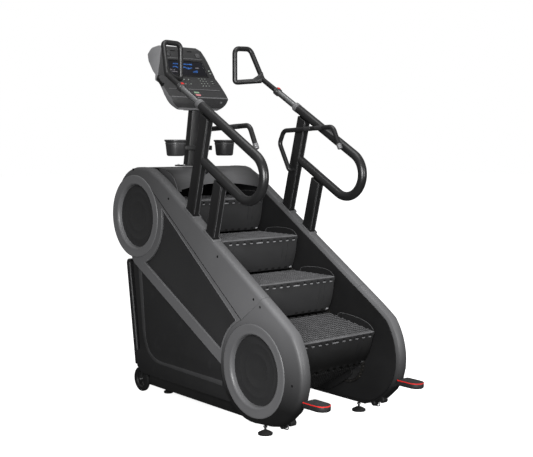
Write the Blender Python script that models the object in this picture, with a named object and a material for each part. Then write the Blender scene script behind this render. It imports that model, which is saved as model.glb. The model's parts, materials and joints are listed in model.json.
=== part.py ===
"""Stair climber, built as separate solids in one frame.

Metres, +Z up, +X to the user's right, +Y the way the user faces. The origin is on the floor under
the middle of the machine. Side outlines are drawn in the Y-Z plane and extruded along X; "side" is
-1 for the left-hand piece and +1 for the right-hand one.
"""

from math import asin, atan2, cos, degrees, hypot, pi, radians, sin, sqrt, tan

import bmesh
import bpy
from mathutils import Matrix, Vector

# ---------------------------------------------------------------- driving dimensions
GAP = 0.0005                # clearance between pieces that touch in the real machine
SKIN = 0.004                # moulded cover thickness

HALF_WIDTH = 0.416          # outer face of the side covers
BEAM_INNER = 0.342          # inner edge of the side covers' top band
WALL_X = (0.334, 0.338)     # inner wall beside the stairs
PLATE_X = (0.345, 0.360)    # bearing plate of a side frame
UPRIGHT_X = (0.3585, 0.388)  # uprights of a side frame
PANEL_X = (0.400, 0.406)    # recessed side panels
FILLET = 0.024              # rounding of the covers' outer edge
BAND = 0.026                # thickness of the covers' top band, fillets included

LOWER = Vector((-0.455, 0.3535))    # (Y, Z) centre of the lower round cover
UPPER = Vector((0.737, 1.150))      # (Y, Z) centre of the upper round cover
INCLINE = atan2(UPPER[1] - LOWER[1], UPPER[0] - LOWER[0])
ALONG = Vector((cos(INCLINE), sin(INCLINE)))
ACROSS = Vector((-sin(INCLINE), cos(INCLINE)))

DISC_R = 0.266
DISH_R = 0.199
SURROUND_R = 0.313          # cover band round the upper disc
CUFF_R = 0.2925             # cover band round the lower disc
NOSE_R = 0.405
REAR_R = 0.272
TOP_Z = 1.466
TOP_SLOPE = 0.64            # top edge of the side covers: z = TOP_AT_0 + TOP_SLOPE * y
TOP_AT_0 = 1.1117
BAR_SLOPE = 0.553           # diagonal bar between the two side panels
BAR_TOP_AT_0 = 0.515
BAR_LOW_AT_0 = 0.4345
WINDOW_SLOPE = 0.813        # upper edge of the upper side panel
WINDOW_AT_0 = 0.862

TREAD_HALF = 0.3125
TREAD_DEPTH = 0.405
RISER_DROP = 0.226
RISER_BACK = 0.0675         # how far the riser's foot lies behind the nosing
STEP_PITCH = 0.407
CHAIN_R = 0.1332            # pitch radius of both sprockets
IDLER = LOWER - ALONG * 0.022 - ACROSS * 0.0312     # the shafts sit a little under the covers' centres
DRIVE = UPPER - ACROSS * 0.0312
CHAIN_X = (0.316, 0.330)
FIRST_PIN = 0.2874          # distance of step 3's foot up the incline from the idler shaft
LOW_STEP_TILT = radians(9)
FOLDED_STEP_TILT = radians(150)

POST_X = (0.358, 0.408)
POST_DEPTH = 0.076
POST_LEAN = 0.258           # metres towards the user for each metre up
REAR_POST_Y0 = 0.459        # y of the rear post's centre line at floor level
FRONT_POST_Y0 = 0.233
RAIL_X = 0.383
RAIL_R = 0.0275
RAIL_ANGLE = radians(29.9)
RAIL_END = Vector((0.082, 1.8507))
LOOP_CENTRE = Vector((-0.378, 1.430))
LOOP_R = 0.135
STEEL_R = 0.020

BASE_RAIL_X = (0.343, 0.380)
BASE_START = -0.590
BASE_Z = (0.062, 0.132)
CROSS_TUBES_Y = ((0.060, 0.110), (0.560, 0.610))
WHEEL_R = 0.080
WHEEL_Y = 0.728


# ---------------------------------------------------------------- scene and materials
def clear_scene():
    for item in list(bpy.data.objects):
        bpy.data.objects.remove(item, do_unlink=True)


def make_material(name, colour, roughness, metallic=0.0):
    material = bpy.data.materials.new(name)
    material.use_nodes = True
    shader = material.node_tree.nodes["Principled BSDF"]
    shader.inputs["Base Color"].default_value = (*colour, 1.0)
    shader.inputs["Roughness"].default_value = roughness
    shader.inputs["Metallic"].default_value = metallic
    return material


PALETTE = {
    "shell": ((0.085, 0.085, 0.09), 0.38, 0.0),
    "panel": ((0.022, 0.022, 0.024), 0.55, 0.0),
    "bezel": ((0.11, 0.11, 0.115), 0.35, 0.0),
    "frame": ((0.012, 0.012, 0.013), 0.42, 0.3),
    "wall": ((0.018, 0.018, 0.019), 0.6, 0.0),
    "step": ((0.045, 0.045, 0.048), 0.55, 0.0),
    "rail": ((0.028, 0.028, 0.03), 0.5, 0.0),
    "steel": ((0.55, 0.56, 0.57), 0.25, 1.0),
    "chain": ((0.12, 0.12, 0.12), 0.4, 0.9),
    "rubber": ((0.015, 0.015, 0.015), 0.75, 0.0),
    "console": ((0.075, 0.075, 0.08), 0.45, 0.0),
    "display": ((0.006, 0.007, 0.009), 0.12, 0.0),
    "red": ((0.55, 0.03, 0.025), 0.4, 0.0),
    "green": ((0.08, 0.35, 0.1), 0.4, 0.0),
    "tray": ((0.035, 0.035, 0.037), 0.55, 0.0),
}
MATERIALS = {}


# ---------------------------------------------------------------- mesh helpers
def add_object(name, bm, slot, origin=(0.0, 0.0, 0.0), smooth_angle=35):
    """Put a bmesh drawn in world metres into a named object whose origin is at origin."""
    bmesh.ops.translate(bm, verts=bm.verts, vec=-Vector(origin))
    bmesh.ops.recalc_face_normals(bm, faces=bm.faces)
    mesh = bpy.data.meshes.new(name)
    bm.to_mesh(mesh)
    bm.free()
    mesh.shade_smooth()
    mesh.set_sharp_from_angle(angle=radians(smooth_angle))
    mesh.materials.append(MATERIALS[slot])
    item = bpy.data.objects.new(name, mesh)
    item.location = origin
    bpy.context.scene.collection.objects.link(item)
    return item


def add_tool(name, bm):
    """A shape that another object's Boolean modifier uses, and the build leaves out."""
    item = add_object(name, bm, "frame")
    item.hide_render = True
    item.display_type = "WIRE"
    return item


def boolean(item, tool, operation="DIFFERENCE"):
    modifier = item.modifiers.new(f"{operation.lower()}_{tool.name}", "BOOLEAN")
    modifier.object = tool
    modifier.operation = operation
    modifier.solver = "EXACT"


def arc(centre, radius, start, stop, count):
    """Points on a circle in the Y-Z plane, from start to stop degrees, both ends included."""
    points = []
    for index in range(count + 1):
        angle = radians(start + (stop - start) * index / count)
        points.append((centre[0] + radius * cos(angle), centre[1] + radius * sin(angle)))
    return points


def prism(outline, x0, x1, bm=None):
    """Extrude a Y-Z outline along X."""
    bm = bm or bmesh.new()
    near = [bm.verts.new((x0, y, z)) for y, z in outline]
    far = [bm.verts.new((x1, y, z)) for y, z in outline]
    bm.faces.new(near)
    bm.faces.new(list(reversed(far)))
    count = len(outline)
    for index in range(count):
        following = (index + 1) % count
        bm.faces.new((near[index], far[index], far[following], near[following]))
    return bm


def band_prism(outer, inner, x0, x1):
    """Extrude the ring between two outlines that have the same number of points."""
    bm = bmesh.new()
    rings = [[bm.verts.new((x, y, z)) for y, z in outline]
             for x, outline in ((x0, outer), (x1, outer), (x1, inner), (x0, inner))]
    count = len(outer)
    for first, second in zip(rings, rings[1:] + rings[:1]):
        for index in range(count):
            following = (index + 1) % count
            bm.faces.new((first[index], first[following], second[following], second[index]))
    return bm


def front_prism(outline, y0, y1):
    """Extrude an X-Z outline along Y."""
    bm = bmesh.new()
    near = [bm.verts.new((x, y0, z)) for x, z in outline]
    far = [bm.verts.new((x, y1, z)) for x, z in outline]
    bm.faces.new(near)
    bm.faces.new(list(reversed(far)))
    for index in range(len(outline)):
        following = (index + 1) % len(outline)
        bm.faces.new((near[index], far[index], far[following], near[following]))
    return bm


def box(x, y, z, bm=None):
    """A box from its (low, high) pairs."""
    return prism([(y[0], z[0]), (y[1], z[0]), (y[1], z[1]), (y[0], z[1])], x[0], x[1], bm)


def lathe(profile, centre, axis, segments=32):
    """Turn a closed (distance along the axis, radius) profile round an axis, "X" or "Z"."""
    bm = bmesh.new()
    rings = []
    for along, radius in profile:
        count = 1 if radius == 0 else segments
        ring = []
        for index in range(count):
            angle = 2 * pi * index / segments
            u, v = radius * cos(angle), radius * sin(angle)
            offset = (along, u, v) if axis == "X" else (u, v, along)
            ring.append(bm.verts.new(Vector(centre) + Vector(offset)))
        rings.append(ring)
    for first, second in zip(rings, rings[1:] + rings[:1]):
        if len(first) == 1 and len(second) == 1:
            continue
        for index in range(segments):
            following = (index + 1) % segments
            corners = [first[index % len(first)], first[following % len(first)],
                       second[following % len(second)], second[index % len(second)]]
            bm.faces.new(list(dict.fromkeys(corners)))
    return bm


def round_corners(points, radius, steps=5):
    """Replace each inner corner of a 3-D path by an arc of the given radius."""
    points = [Vector(point) for point in points]
    path = [points[0]]
    for before, corner, after in zip(points, points[1:], points[2:]):
        arm_in = (before - corner).normalized()
        arm_out = (after - corner).normalized()
        half = arm_in.angle(arm_out) / 2
        reach = min(radius / tan(half), 0.45 * (before - corner).length, 0.45 * (after - corner).length)
        true_radius = reach * tan(half)
        centre = corner + (arm_in + arm_out).normalized() * (true_radius / sin(half))
        start = corner + arm_in * reach - centre
        stop = corner + arm_out * reach - centre
        sweep = start.angle(stop)
        for index in range(steps + 1):
            share = index / steps
            turned = (start * sin((1 - share) * sweep) + stop * sin(share * sweep)) / sin(sweep)
            path.append(centre + turned)
    path.append(points[-1])
    return path


def sweep(path, profile, up=(1.0, 0.0, 0.0)):
    """Sweep a closed 2-D profile along a 3-D path, with flat ends. up fixes the profile's turn."""
    path = [Vector(point) for point in path]
    bm = bmesh.new()
    side = Vector(up)
    rings = []
    for index, point in enumerate(path):
        before = path[max(index - 1, 0)]
        after = path[min(index + 1, len(path) - 1)]
        into = (point - before).normalized() if index else (after - point).normalized()
        out = (after - point).normalized() if index < len(path) - 1 else into
        tangent = (into + out).normalized()
        side = (side - tangent * side.dot(tangent)).normalized()
        other = tangent.cross(side)
        rings.append([bm.verts.new(point + side * u + other * v) for u, v in profile])
    count = len(profile)
    for first, second in zip(rings, rings[1:]):
        for index in range(count):
            following = (index + 1) % count
            bm.faces.new((first[index], first[following], second[following], second[index]))
    bm.faces.new(list(reversed(rings[0])))
    bm.faces.new(rings[-1])
    return bm


def circle_profile(radius, sides=14):
    return [(radius * cos(2 * pi * i / sides), radius * sin(2 * pi * i / sides)) for i in range(sides)]


def belt_outline(low, low_radius, high, high_radius, count=14):
    """Outline of a belt round two circles, from the lower circle's far side round to the upper."""
    line = Vector(high) - Vector(low)
    heading = degrees(atan2(line[1], line[0]))
    wrap = degrees(asin((high_radius - low_radius) / line.length))
    lower = arc(low, low_radius, heading + 90 + wrap, heading + 270 - wrap, count)
    upper = arc(high, high_radius, heading - 90 - wrap, heading + 90 + wrap, count)
    return lower + upper


def offset_path(path, distance):
    """Move an open Y-Z path sideways, to its left for a positive distance."""
    path = [Vector(point) for point in path]
    moved = []
    for index, point in enumerate(path):
        before = path[max(index - 1, 0)]
        after = path[min(index + 1, len(path) - 1)]
        heading = (after - before).normalized()
        moved.append(point + Vector((-heading[1], heading[0])) * distance)
    return moved


def circle_cut(centre, radius, slope, height, near):
    """Angle in degrees at which the line z = height + slope * y meets a circle, nearest to near."""
    reach = hypot(1.0, slope) * radius
    tilt = atan2(slope, 1.0)
    level = height + slope * centre[0] - centre[1]
    base = asin(max(-1.0, min(1.0, level / reach)))
    choices = [degrees(base + tilt), degrees(pi - base + tilt)]
    return min(choices, key=lambda angle: abs((angle - near + 180) % 360 - 180))


def top_edge(y):
    return TOP_AT_0 + TOP_SLOPE * y


def mirrored(pair, side):
    """A (low, high) X pair for the left or right side."""
    return sorted((pair[0] * side, pair[1] * side))


def side_name(side):
    return "left" if side < 0 else "right"


# ---------------------------------------------------------------- outlines of the side covers
REAR_ARC_CENTRE = Vector((0.700, TOP_Z - 0.275))
SEAM_FOOT = Vector((-0.351, 0.627))     # the nose cover's joint, where it meets the lower disc
SEAM_TOP_Y = -0.530
SEAM_GAP = 0.0015


def shell_top_path(inset=0.0):
    """Top and rear edge of the side shell, from the nose joint up and round the upper disc."""
    flat_y = (TOP_Z - TOP_AT_0) / TOP_SLOPE
    path = [(SEAM_TOP_Y, top_edge(SEAM_TOP_Y)), (flat_y - 0.10, top_edge(flat_y - 0.10))]
    bend = 0.045
    path += [(flat_y - 0.5 * bend, TOP_Z - 0.6 * bend), (flat_y + 0.2 * bend, TOP_Z - 0.22 * bend),
             (flat_y + bend, TOP_Z - 0.04 * bend)]
    path += arc(REAR_ARC_CENTRE, 0.275, 92, 48, 5)
    path += arc(UPPER, REAR_R, 40, -78, 14)
    return offset_path(path, -inset) if inset else path


def shell_outline():
    """Whole outer outline of the side shell."""
    low = circle_cut(LOWER, CUFF_R, BAR_SLOPE, BAR_LOW_AT_0, 0)
    seam = degrees(atan2(SEAM_FOOT[1] - LOWER[1], SEAM_FOOT[0] - LOWER[0]))
    bar_end_y = 0.752
    outline = shell_top_path() + [(bar_end_y, BAR_LOW_AT_0 + BAR_SLOPE * bar_end_y)]
    outline += arc(LOWER, CUFF_R, low, seam, 8)
    return outline


def window_outline(inset=0.0):
    """The upper side panel's outline."""
    surround = SURROUND_R + inset
    cuff = CUFF_R + 0.012 + inset
    upper_line = WINDOW_AT_0 - inset * hypot(1, WINDOW_SLOPE)
    lower_line = BAR_TOP_AT_0 + inset * hypot(1, BAR_SLOPE)
    start = circle_cut(UPPER, surround, WINDOW_SLOPE, upper_line, 168)
    stop = circle_cut(UPPER, surround, BAR_SLOPE, lower_line, 248)
    outline = arc(UPPER, surround, start, stop, 8)
    start = circle_cut(LOWER, cuff, BAR_SLOPE, lower_line, 13)
    stop = circle_cut(LOWER, cuff, WINDOW_SLOPE, upper_line, 60)
    return outline + arc(LOWER, cuff, start, stop, 5)


def nose_path():
    """Outer edge of the nose cover, from the joint on top round to the flat underside."""
    begin = SEAM_TOP_Y - SEAM_GAP
    path = [(begin, top_edge(begin)), (-0.665, top_edge(-0.665)), (-0.730, top_edge(-0.730) - 0.003)]
    path += arc((LOWER[0], LOWER[1] + 0.006), NOSE_R, 142, 178, 8)
    return path + [(-0.857, 0.316), (-0.838, 0.245), (-0.795, 0.178), (-0.735, 0.122), (-0.672, 0.082),
                   (-0.600, 0.066)]


def nose_outline():
    low = circle_cut(LOWER, CUFF_R, BAR_SLOPE, BAR_LOW_AT_0, 0)
    seam = degrees(atan2(SEAM_FOOT[1] - LOWER[1], SEAM_FOOT[0] - LOWER[0]))
    outline = nose_path() + arc(LOWER, CUFF_R - SEAM_GAP, -95, low, 10)
    return outline + arc(LOWER, CUFF_R - SEAM_GAP, low + 6, seam, 8)


def lower_panel_outline():
    """Dark panel under the diagonal bar, with its square rear foot over the wheel."""
    gap = 0.003
    bar_line = BAR_LOW_AT_0 - gap
    bottom = BASE_Z[1] + 0.002
    radius = CUFF_R + 0.002
    start = degrees(asin((bottom - LOWER[1]) / radius))
    stop = circle_cut(LOWER, radius, BAR_SLOPE, bar_line, 0)
    outline = arc(LOWER, radius, start, stop, 6)
    outline += [(0.775, bar_line + BAR_SLOPE * 0.775), (0.705, 0.330), (0.708, 0.285), (0.758, 0.272)]
    return outline + [(0.742, 0.172), (0.690, bottom)]


# ---------------------------------------------------------------- covers
def post_centre(foot_y, z):
    return foot_y - POST_LEAN * z


def post_outline(foot_y, low, high_left, high_right, grow=0.0):
    """Leaning post seen from the side; high_left and high_right are its two top heights."""
    half = POST_DEPTH / 2 * hypot(1, POST_LEAN) + grow
    return [(post_centre(foot_y, low) - half, low), (post_centre(foot_y, low) + half, low),
            (post_centre(foot_y, high_right) + half, high_right),
            (post_centre(foot_y, high_left) - half, high_left)]


def cover_cutter(name, outline, side, grow=0.0):
    """A prism that goes right through a side cover."""
    return add_tool(f"{name}_{side_name(side)}", prism(outline, side * (0.39 - grow), side * (0.43 + grow)))


def disc_cutter(name, centre, radius, side, grow=0.0):
    low, high = side * (0.382 - grow), side * (0.43 + grow)
    return add_tool(f"{name}_{side_name(side)}", lathe(
        [(low, 0), (low, radius), (high, radius), (high, 0)], (0, *centre), "X", 40))


def rounded_cover(edge, rest, inset_edge, side):
    """Extrude a cover across its width. Its edge path is rounded; the rest of the outline is square."""
    x0, x1 = BEAM_INNER, HALF_WIDTH
    sections = [(x0, 0.022), (x0 + 0.007, 0.0065), (x0 + FILLET, 0.0), (x1 - FILLET, 0.0),
                (x1 - 0.009, 0.005), (x1 - 0.0025, 0.0125), (x1, FILLET)]
    bm = bmesh.new()
    rings = []
    for x, inset in sections:
        outline = [tuple(point) for point in inset_edge(edge, inset)] + rest
        rings.append([bm.verts.new((side * x, y, z)) for y, z in outline])
    bm.faces.new(rings[0])
    bm.faces.new(list(reversed(rings[-1])))
    count = len(rings[0])
    for first, second in zip(rings, rings[1:]):
        for index in range(count):
            following = (index + 1) % count
            bm.faces.new((first[index], second[index], second[following], first[following]))
    return bm


def hollow_cover(cover, side, deep_outline, outline, rims):
    """Hollow a cover from inside: deep behind its outer edge, shallow behind every other edge."""
    deep = add_tool(f"{cover.name}_deep", prism(deep_outline, side * (BEAM_INNER - 0.01), side * 0.3905))
    boolean(cover, deep)
    shallow = add_tool(f"{cover.name}_shallow", prism(
        inset_outline(outline, SKIN + 0.0006), side * 0.389, side * (HALF_WIDTH - SKIN)))
    for rim in rims:
        boolean(shallow, rim)
    boolean(cover, shallow)


def make_side_covers(side):
    name = side_name(side)
    edge = shell_top_path()
    rest = shell_outline()[len(edge):]
    shell = add_object(f"side_shell_{name}", rounded_cover(
        edge, rest, lambda path, inset: offset_path(path, -inset), side), "shell")
    start_y = SEAM_TOP_Y - 0.05
    deep = [(start_y, top_edge(start_y) - BAND * hypot(1, TOP_SLOPE))]
    deep += [tuple(point) for point in shell_top_path(BAND)][1:] + [(0.84, 0.80), (-0.2, 0.2), (start_y, 0.3)]
    hollow_cover(shell, side, deep, [tuple(point) for point in shell_top_path(BAND + 0.003)] + rest,
                 [cover_cutter("window_rim", window_outline(-SKIN), side, 0.02),
                  disc_cutter("upper_rim", UPPER, DISC_R + SKIN, side, 0.02)])
    boolean(shell, cover_cutter("window", window_outline(), side))
    boolean(shell, disc_cutter("upper_hole", UPPER, DISC_R + GAP, side))
    for label, foot_y in (("rear", REAR_POST_Y0), ("front", FRONT_POST_Y0)):
        slot = add_tool(f"{label}_post_slot_{name}", prism(
            post_outline(foot_y, 0.95, 1.35, 1.35, grow=0.002),
            side * (POST_X[0] - 0.002), side * (POST_X[1] + 0.002)))
        boolean(shell, slot)

    edge = nose_path()
    rest = nose_outline()[len(edge):]
    nose = add_object(f"nose_cover_{name}", rounded_cover(edge, rest, offset_path, side), "shell")
    start_y = SEAM_TOP_Y + 0.05
    deep = [(start_y, top_edge(start_y) - BAND * hypot(1, TOP_SLOPE))]
    deep += [tuple(point) for point in offset_path(edge, BAND)][1:] + [(-0.598, 0.02), (-0.1, 0.02)]
    hollow_cover(nose, side, deep + [(-0.1, 0.5)],
                 [tuple(point) for point in offset_path(edge, BAND + 0.003)] + rest,
                 [disc_cutter("lower_rim", LOWER, DISC_R + SKIN, side, 0.02)])
    boolean(nose, disc_cutter("lower_hole", LOWER, DISC_R + GAP, side))
    boolean(nose, add_tool(f"pad_arm_slot_{name}", pad_arm(side, grow=0.002)))

    add_object(f"upper_panel_{name}",
               prism(window_outline(GAP), side * PANEL_X[0], side * PANEL_X[1]), "panel")
    add_object(f"lower_panel_{name}",
               prism(lower_panel_outline(), side * PANEL_X[0], side * (PANEL_X[1] + 0.002)), "panel")
    for label, centre in (("upper", UPPER), ("lower", LOWER)):
        make_disc_cover(f"{label}_disc_{name}", centre, side)


def inset_outline(outline, distance):
    """Shrink a closed outline by moving each corner along its mitre."""
    points = [Vector(point) for point in outline]
    area = sum(a[0] * b[1] - b[0] * a[1] for a, b in zip(points, points[1:] + points[:1]))
    turn = 1 if area > 0 else -1
    inset = []
    count = len(points)
    for index, point in enumerate(points):
        into = (point - points[index - 1]).normalized()
        out = (points[(index + 1) % count] - point).normalized()
        normal = Vector((-into[1] - out[1], into[0] + out[0])) * turn
        scale = max(0.35, normal.length_squared / 2)
        inset.append(point + normal * (distance / scale))
    return inset


def make_disc_cover(name, centre, side):
    """Round cover: a raised bezel ring with a dished centre, open behind."""
    profile = [(0.384, 0), (0.384, DISH_R - 0.004), (0.402, DISH_R + 0.004), (0.402, DISC_R - 0.004),
               (0.384, DISC_R - 0.004), (0.384, DISC_R), (0.414, DISC_R), (0.419, DISC_R - 0.006),
               (0.419, DISH_R + 0.012), (0.412, DISH_R + 0.004), (0.389, DISH_R - 0.001), (0.388, 0)]
    add_object(name, lathe([(side * x, r) for x, r in profile], (0, *centre), "X", 40), "bezel")


def make_inner_wall(side):
    top = [tuple(point) for point in shell_top_path(FILLET)][:-2]
    nose = [tuple(point) for point in offset_path(nose_path(), FILLET)][1:-1]
    outline = top + [(0.80, 0.88), (0.70, 0.145), (-0.10, 0.085), (-0.59, 0.085)] + list(reversed(nose))
    wall = add_object(f"inner_wall_{side_name(side)}", prism(outline, side * WALL_X[0], side * WALL_X[1]),
                      "wall")
    holes = [(IDLER, 0.024), (DRIVE, 0.024)]
    if side < 0:
        holes.append((ALTERNATOR, 0.016))
    for number, (low, high) in enumerate(CROSS_TUBES_Y):
        boolean(wall, add_tool(f"wall_notch_{side_name(side)}_{number}", box(
            mirrored((0.32, 0.35), side), (low - 0.003, high + 0.003), (0.05, 0.123))))
    for number, (centre, radius) in enumerate(holes):
        tool = add_tool(f"wall_hole_{side_name(side)}_{number}", lathe(
            [(side * 0.32, 0), (side * 0.32, radius), (side * 0.345, radius), (side * 0.345, 0)],
            (0, *centre), "X", 20))
        boolean(wall, tool)


HOOD_LIP = Vector((0.362, 1.318))       # lower edge of the hood, over the top step
HOOD_ARCH = (1.363, 1.330)              # height of the arched opening at its middle and its ends
HOOD_X = 0.3332


def make_hood():
    """Curved top cover between the two sides, from over the top step to the rear."""
    path = [tuple(HOOD_LIP), (0.371, 1.352), (0.392, 1.392), (0.430, 1.425), (0.485, 1.448), (0.56, 1.460), (0.66, 1.464)]
    path += arc(REAR_ARC_CENTRE, 0.273, 88, 48, 5)
    path += arc(UPPER, REAR_R - 0.002, 40, -30, 9)
    inner = offset_path(path, -SKIN)
    hood = add_object("hood", prism(path + list(reversed(inner)), -HOOD_X, HOOD_X), "shell")
    arch = [(-0.31, 1.25)]
    for index in range(13):
        x = -0.31 + 0.62 * index / 12
        arch.append((x, HOOD_ARCH[0] - (HOOD_ARCH[0] - HOOD_ARCH[1]) * (x / 0.31) ** 2))
    arch.append((0.31, 1.25))
    boolean(hood, add_tool("hood_arch", front_prism(arch, 0.34, 0.42)))


REAR_TOP = Vector((0.925, 0.985))
REAR_FOOT = Vector((0.815, 0.172))


def make_rear_cover():
    """Leaning rear cover, a shallow tray that is open towards the front."""
    depth = 0.055
    outline = [(REAR_TOP[0] - depth, REAR_TOP[1]), tuple(REAR_TOP), tuple(REAR_FOOT),
               (REAR_FOOT[0] - depth, REAR_FOOT[1])]
    low_outline = [(REAR_TOP[0] - depth, 0.862), (REAR_TOP[0] - 0.016, 0.862), tuple(REAR_FOOT),
                   (REAR_FOOT[0] - depth, REAR_FOOT[1])]
    cover = add_object("rear_cover", prism(low_outline, -0.394, 0.394), "panel")
    neck = add_tool("rear_cover_neck", prism(
        [(outline[0][0], outline[0][1]), outline[1], (REAR_TOP[0] - 0.018, 0.85),
         (REAR_TOP[0] - 0.018 - depth + 0.016, 0.85)], -HOOD_X, HOOD_X))
    boolean(cover, neck, "UNION")
    shift = 0.004
    hollow_outline = [(REAR_TOP[0] - depth - 0.03, 1.10), (REAR_TOP[0] - shift + 0.0152, 1.10),
                      (REAR_FOOT[0] - shift + 0.0005, REAR_FOOT[1] + SKIN),
                      (REAR_FOOT[0] - depth - 0.05, REAR_FOOT[1] + SKIN)]
    hollow = add_tool("rear_cover_hollow", prism(hollow_outline, -0.329, 0.329))
    boolean(cover, hollow)
    flank = [(0.80, 0.855), (0.9015, 0.855), (REAR_FOOT[0] - shift + 0.0005, REAR_FOOT[1] + SKIN),
             (0.70, REAR_FOOT[1] + SKIN)]
    wide = add_tool("rear_cover_flank", prism(flank, -0.390, 0.390))
    boolean(cover, wide)


# ---------------------------------------------------------------- frame
def make_base_frame():
    rail = box(mirrored(BASE_RAIL_X, -1), (BASE_START, 0.640), BASE_Z)
    frame = add_object("base_frame", rail, "frame")
    pieces = [box(BASE_RAIL_X, (BASE_START, 0.640), BASE_Z)]
    for low, high in CROSS_TUBES_Y:
        pieces.append(box((-0.350, 0.350), (low, high), (0.070, 0.120)))
    for side in (-1, 1):
        pieces.append(box(mirrored((0.352, 0.362), side), (0.60, WHEEL_Y + 0.025), (0.058, 0.112)))
        pieces.append(lathe([(side * 0.355, 0), (side * 0.355, 0.0085), (side * 0.394, 0.0085),
                             (side * 0.394, 0)], (0, WHEEL_Y, WHEEL_R + 0.003), "X", 16))
    for number, piece in enumerate(pieces):
        boolean(frame, add_tool(f"base_piece_{number}", piece), "UNION")


def make_side_frame(side):
    """Bearing plate that carries both shafts, with two uprights down to the base rail."""
    name = side_name(side)
    reach, half = 0.060, 0.085
    ends = [IDLER - ALONG * reach, DRIVE + ALONG * reach]
    outline = [ends[0] + ACROSS * 0.05, IDLER + ACROSS * half, DRIVE + ACROSS * half,
               ends[1] + ACROSS * 0.05, ends[1] - ACROSS * 0.05, DRIVE - ACROSS * half,
               IDLER - ACROSS * half, ends[0] - ACROSS * 0.05]
    frame = add_object(f"side_frame_{name}", prism(outline, side * PLATE_X[0], side * PLATE_X[1]), "frame")
    for label, foot_y in (("rear", REAR_POST_Y0), ("front", FRONT_POST_Y0)):
        top = post_foot_z(foot_y) - 0.001
        upright = add_tool(f"{label}_upright_{name}", prism(
            post_outline(foot_y, BASE_Z[1] + GAP, top, top, grow=-0.004),
            side * UPRIGHT_X[0], side * UPRIGHT_X[1]))
        boolean(frame, upright, "UNION")
    for label, centre in (("idler", IDLER), ("drive", DRIVE)):
        hole = add_tool(f"{label}_bearing_{name}", lathe(
            [(side * 0.34, 0), (side * 0.34, 0.0185), (side * 0.366, 0.0185), (side * 0.366, 0)],
            (0, *centre), "X", 24))
        boolean(frame, hole)


def post_foot_z(foot_y):
    """Height of a post's lower end, a little under the cover's top band."""
    y = (foot_y - POST_LEAN * TOP_AT_0) / (1 + POST_LEAN * TOP_SLOPE)
    return top_edge(y) - 0.045


def rail_line(y, drop=0.0):
    """Height of the handrail's upper straight at y, lowered square to the rail by drop."""
    return RAIL_END[1] + tan(RAIL_ANGLE) * (y - RAIL_END[0]) - drop / cos(RAIL_ANGLE)


def lower_rail_line(y, drop=0.0):
    return rail_line(y, 2 * LOOP_R + drop)


def post_top(foot_y, offset, line):
    """Height at which one face of a post meets the underside of a rail."""
    slope = tan(RAIL_ANGLE)
    start = line(0.0, RAIL_R + GAP)
    return (start + slope * (foot_y + offset)) / (1 + slope * POST_LEAN)


def make_posts(side):
    name = side_name(side)
    half = POST_DEPTH / 2 * hypot(1, POST_LEAN)
    for label, foot_y, line in (("rear", REAR_POST_Y0, rail_line), ("front", FRONT_POST_Y0, lower_rail_line)):
        outline = post_outline(foot_y, post_foot_z(foot_y),
                               post_top(foot_y, -half, line), post_top(foot_y, half, line))
        add_object(f"{label}_post_{name}", prism(outline, side * POST_X[0], side * POST_X[1]), "frame")


def make_handrail(side):
    """Upper straight, round loop towards the user, and lower straight back to the rear post."""
    name = side_name(side)
    heading = degrees(RAIL_ANGLE)
    loop = arc(LOOP_CENTRE, LOOP_R, heading + 90, heading + 270, 14)
    stop_y = post_centre(REAR_POST_Y0, 1.50) - 0.01
    path = [tuple(RAIL_END)] + loop + [(stop_y, lower_rail_line(stop_y))]
    points = [(side * RAIL_X, y, z) for y, z in path]
    rail = add_object(f"handrail_{name}", sweep(points, circle_profile(RAIL_R, 16)), "rail")
    boolean(rail, add_tool(f"rail_cope_{name}", prism(
        post_outline(REAR_POST_Y0, 1.2, 1.7, 1.7, grow=GAP), side * 0.34, side * 0.43)))
    direction = Vector((0, cos(RAIL_ANGLE), sin(RAIL_ANGLE)))
    end = Vector((side * RAIL_X, *RAIL_END))
    bore = add_tool(f"rail_bore_{name}", sweep([end + direction * 0.02, end - direction * 0.27],
                                               circle_profile(STEEL_R + 0.0006, 20)))
    boolean(rail, bore)


def handle_frame(side):
    """End of the rail and the direction in which the handle draws out."""
    return Vector((side * RAIL_X, *RAIL_END)), Vector((0, cos(RAIL_ANGLE), sin(RAIL_ANGLE)))


COLLAR_START, COLLAR_STOP = 0.185, 0.217
HANDLE_NECK = 0.375          # distance from the rail's end to the D loop
HANDLE_INSIDE = 0.130        # steel tube left inside the rail at rest
BUTTON_TRAVEL = 0.003


def make_extension_handle(side):
    """Steel tube, collar and D shaped grip, one moving piece."""
    name = side_name(side)
    end, direction = handle_frame(side)
    handle = add_object(f"extension_handle_{name}", sweep(
        [end - direction * HANDLE_INSIDE, end + direction * (COLLAR_START + 0.01)],
        circle_profile(STEEL_R, 20)), "steel", origin=end)
    neck = end + direction * HANDLE_NECK
    grip_x = side * 0.2175
    low_grip = Vector((grip_x, 0.495, 2.018))
    high_grip = Vector((grip_x, 0.495, 2.236))
    shoulder = Vector((side * 0.348, 0.496, 2.241))
    root = neck + Vector((-side * 0.012, 0.0, -0.008))
    loop = round_corners([end + direction * COLLAR_START, neck, shoulder, high_grip, low_grip,
                          low_grip + Vector((side * 0.03, -0.015, 0.0))], 0.032, 4)
    pieces = [sweep(loop, circle_profile(0.0165, 12)),
              sweep([low_grip + Vector((side * 0.028, -0.014, 0.0)), root], circle_profile(0.0165, 12)),
              sweep([end + direction * COLLAR_START, end + direction * COLLAR_STOP],
                    circle_profile(0.026, 16))]
    for number, piece in enumerate(pieces):
        boolean(handle, add_tool(f"handle_piece_{name}_{number}", piece), "UNION")
    pocket = add_tool(f"button_pocket_{name}", button_shape(side, grow=0.001, sink=BUTTON_TRAVEL + 0.001))
    boolean(handle, pocket)
    add_object(f"release_button_{name}", button_shape(side), "red", origin=button_centre(side))


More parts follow.
